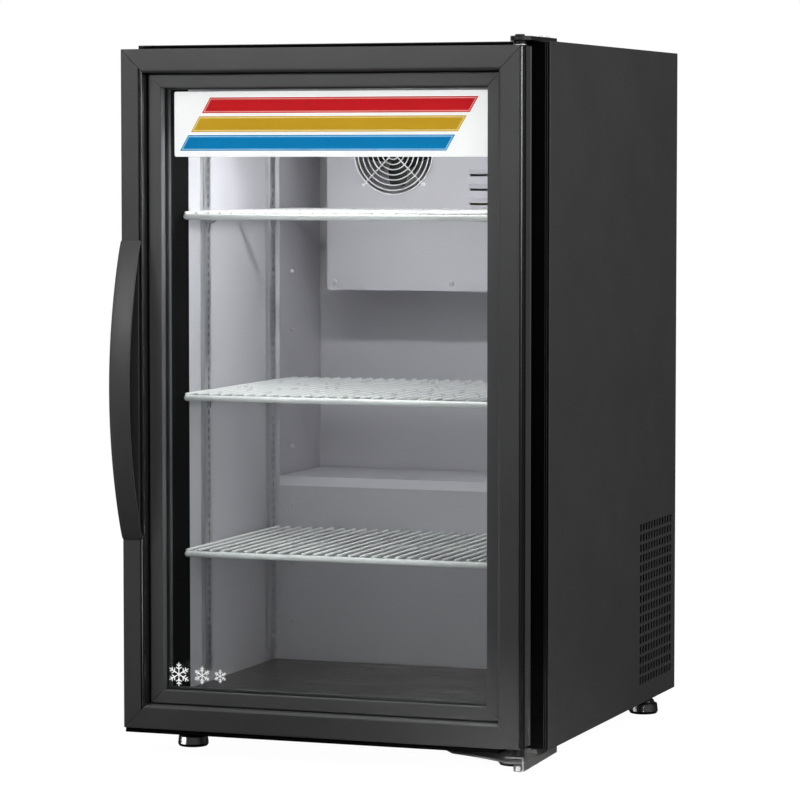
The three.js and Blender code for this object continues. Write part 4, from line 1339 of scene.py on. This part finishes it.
def build_rear():
    """Grille sheet with hooded louvres, and the screws and swages of the back panel."""
    xs, (inside, face), zs = span("rear_grille")
    columns = [xs[0], -250, -20, 20, 250, xs[1]]
    lows = range(100, 298, 22)
    rows = [zs[0]] + [low + edge for low in lows for edge in (0, 19)] + [zs[1]]

    def opening(i, j):
        return (113, 4.4, 3) if i in (1, 3) and j % 2 == 1 and j < len(rows) - 2 else None

    sheet = Shape()
    sheet.folded_sheet([(x, inside) for x in columns], rows, 1.4, hole=opening)
    piece("rear_grille_sheet", sheet, COAT, "cabinet", ("rear_grille",), sharp=30)
    hoods = Shape()
    hood = [(0, 16.6), (1.4, 16.2), (5.2, 9.6), (5.4, 8.2), (4.6, 8.2), (0.9, 14.8), (0, 14.9)]
    for low, (x0, x1) in product(lows, ((-252, -18), (18, 252))):
        hoods.prism([(face + out, low + rise) for out, rise in hood], "x", x0, x1)
    hoods.screws("y", product((-285, 0, 285), (zs[0] + 10, zs[1] - 8)), face, 1)
    piece("rear_louvre_hoods", hoods, COAT, sharp=30)
    _, (_, face), (low, high) = span("rear_panel")
    fixings = Shape()
    fixings.screws("y", product((-301, 301), range(360, 1000, 105)), CASE_Y[1], 1)
    fixings.screws("y", product((-200, 0, 200), (high - 12,)), face, 1, 3)
    for x in (-180, -60, 60, 180):
        swage = [(x - 7, face), (x - 4, face + 1.3), (x + 4, face + 1.3), (x + 7, face)]
        fixings.prism(swage, "z", low + 60, high - 60)
    piece("rear_panel_fixings", fixings, GALVANISED, sharp=30)


def build_cavity_details():
    """Coved corner strips and liner rivets inside the cabinet."""
    half = span("right_liner")[0][0]
    top = span("ceiling_liner")[2][0]
    front = span("ceiling_liner")[1][0] + 1
    rear = span("rear_liner")[1][0]
    low = span("rear_liner")[2][0] + 1
    coves = Shape()
    radius = 9.0
    for _, side in SIDES:
        corner = side * (half - 0.1)
        for wall, axis, start, end in ((top, "y", front, rear - 0.2), (rear, "z", low, top - 0.4)):
            centre = (corner - side * radius, wall - 0.1 - radius)
            curve = [(centre[0] + side * a, centre[1] + b) for a, b in arc((0, 0), radius, 0, 90)]
            coves.prism([(corner, wall - 0.1)] + curve, axis, start, end)
    piece("liner_coves", coves, LINER, sharp=30)
    rivets = Shape()
    head = [(0, rear - 1.6), (1.8, rear - 1.5), (3.2, rear - 0.9), (3.4, rear), (0, rear)]
    for place in product((-232, 232), range(int(low) + 60, int(top) - 40, 90)):
        rivets.lathe(head, "y", place, 16)
    piece("liner_rivets", rivets, LINER, sharp=50)


# ---- Assembly -----------------------------------------------------------------------------------

add_camera()
add_world()
add_floor()
softbox("front_fill", (0.35, -3.6, 1.9), (0, -0.33, 0.85), (1.3, 1.0), 1.05, 46)
softbox("key", (-1.55, -3.4, 1.9), (0.05, -0.33, 1.08), (1.0, 0.9), 2.4, 46)
softbox("overhead", (0.0, -0.6, 3.2), (0, 0, 0.5), (2.2, 2.2), 16)
softbox("side_light", (2.9, -0.3, 1.55), (0.31, -0.05, 0.7), (0.9, 1.7), 27)
softbox("hinge_glint", (2.0, -1.5, 1.66), (0.29, -0.3, 0.95), (0.45, 1.7), 13)
softbox("bracket_light", (0.9, -2.0, 0.5), (0.285, -0.34, -0.02), (0.3, 0.2), 0.2, 12)
softbox("low_left", (-1.5, -1.0, 0.09), (-0.25, -0.25, 0.03), (1.2, 0.16), 2.2)
softbox("rear_fill", (-2.2, 3.0, 1.6), (0, 0.1, 0.5), (1.6, 1.6), 42)
softbox("cabinet_lamp", (0, FRONT + 0.106, 0.919), (0, FRONT + 0.20, 0.3), (0.38, 0.028), 2.3)

build_door_frame()
build_glass()
build_header()
build_decal()
build_gasket()
build_handle()
build_closer()
build_side_panels()
build_top_panel()
build_feet()
build_breaker()
for side_name, side_sign in SIDES:
    for row in ("front", "rear"):
        slotted_standard(f"{side_name}_{row}_standard", side_sign)
for shelf_name in SHELVES:
    build_shelf(shelf_name)
build_mouth_shade_and_beads()
build_hinges()
build_evaporator()
build_lamp()
build_controls()
build_condensing_unit()
build_electrics()
build_rear()
build_cavity_details()

carry(("foam_insulation",), FOAM)
carry(("base_plate", "compartment_bulkhead", "rear_panel", "condenser_fan_shroud"), GALVANISED)
carry(("left_liner", "right_liner", "rear_liner", "ceiling_liner", "evaporator_cover", "lamp_housing"), LINER)
carry(("floor_pan",), FLOOR_STEEL_PAINTED_REFLECTION)
carry(("top_hinge_plate",), TRIM)
carry(("bottom_hinge_bracket",), BRACKET_COAT)
eased(("top_hinge_plate", "bottom_hinge_bracket"), 0.5)
eased(("evaporator_cover", "lamp_housing"), 1.2)

bpy.context.scene.view_settings.view_transform = "Standard"
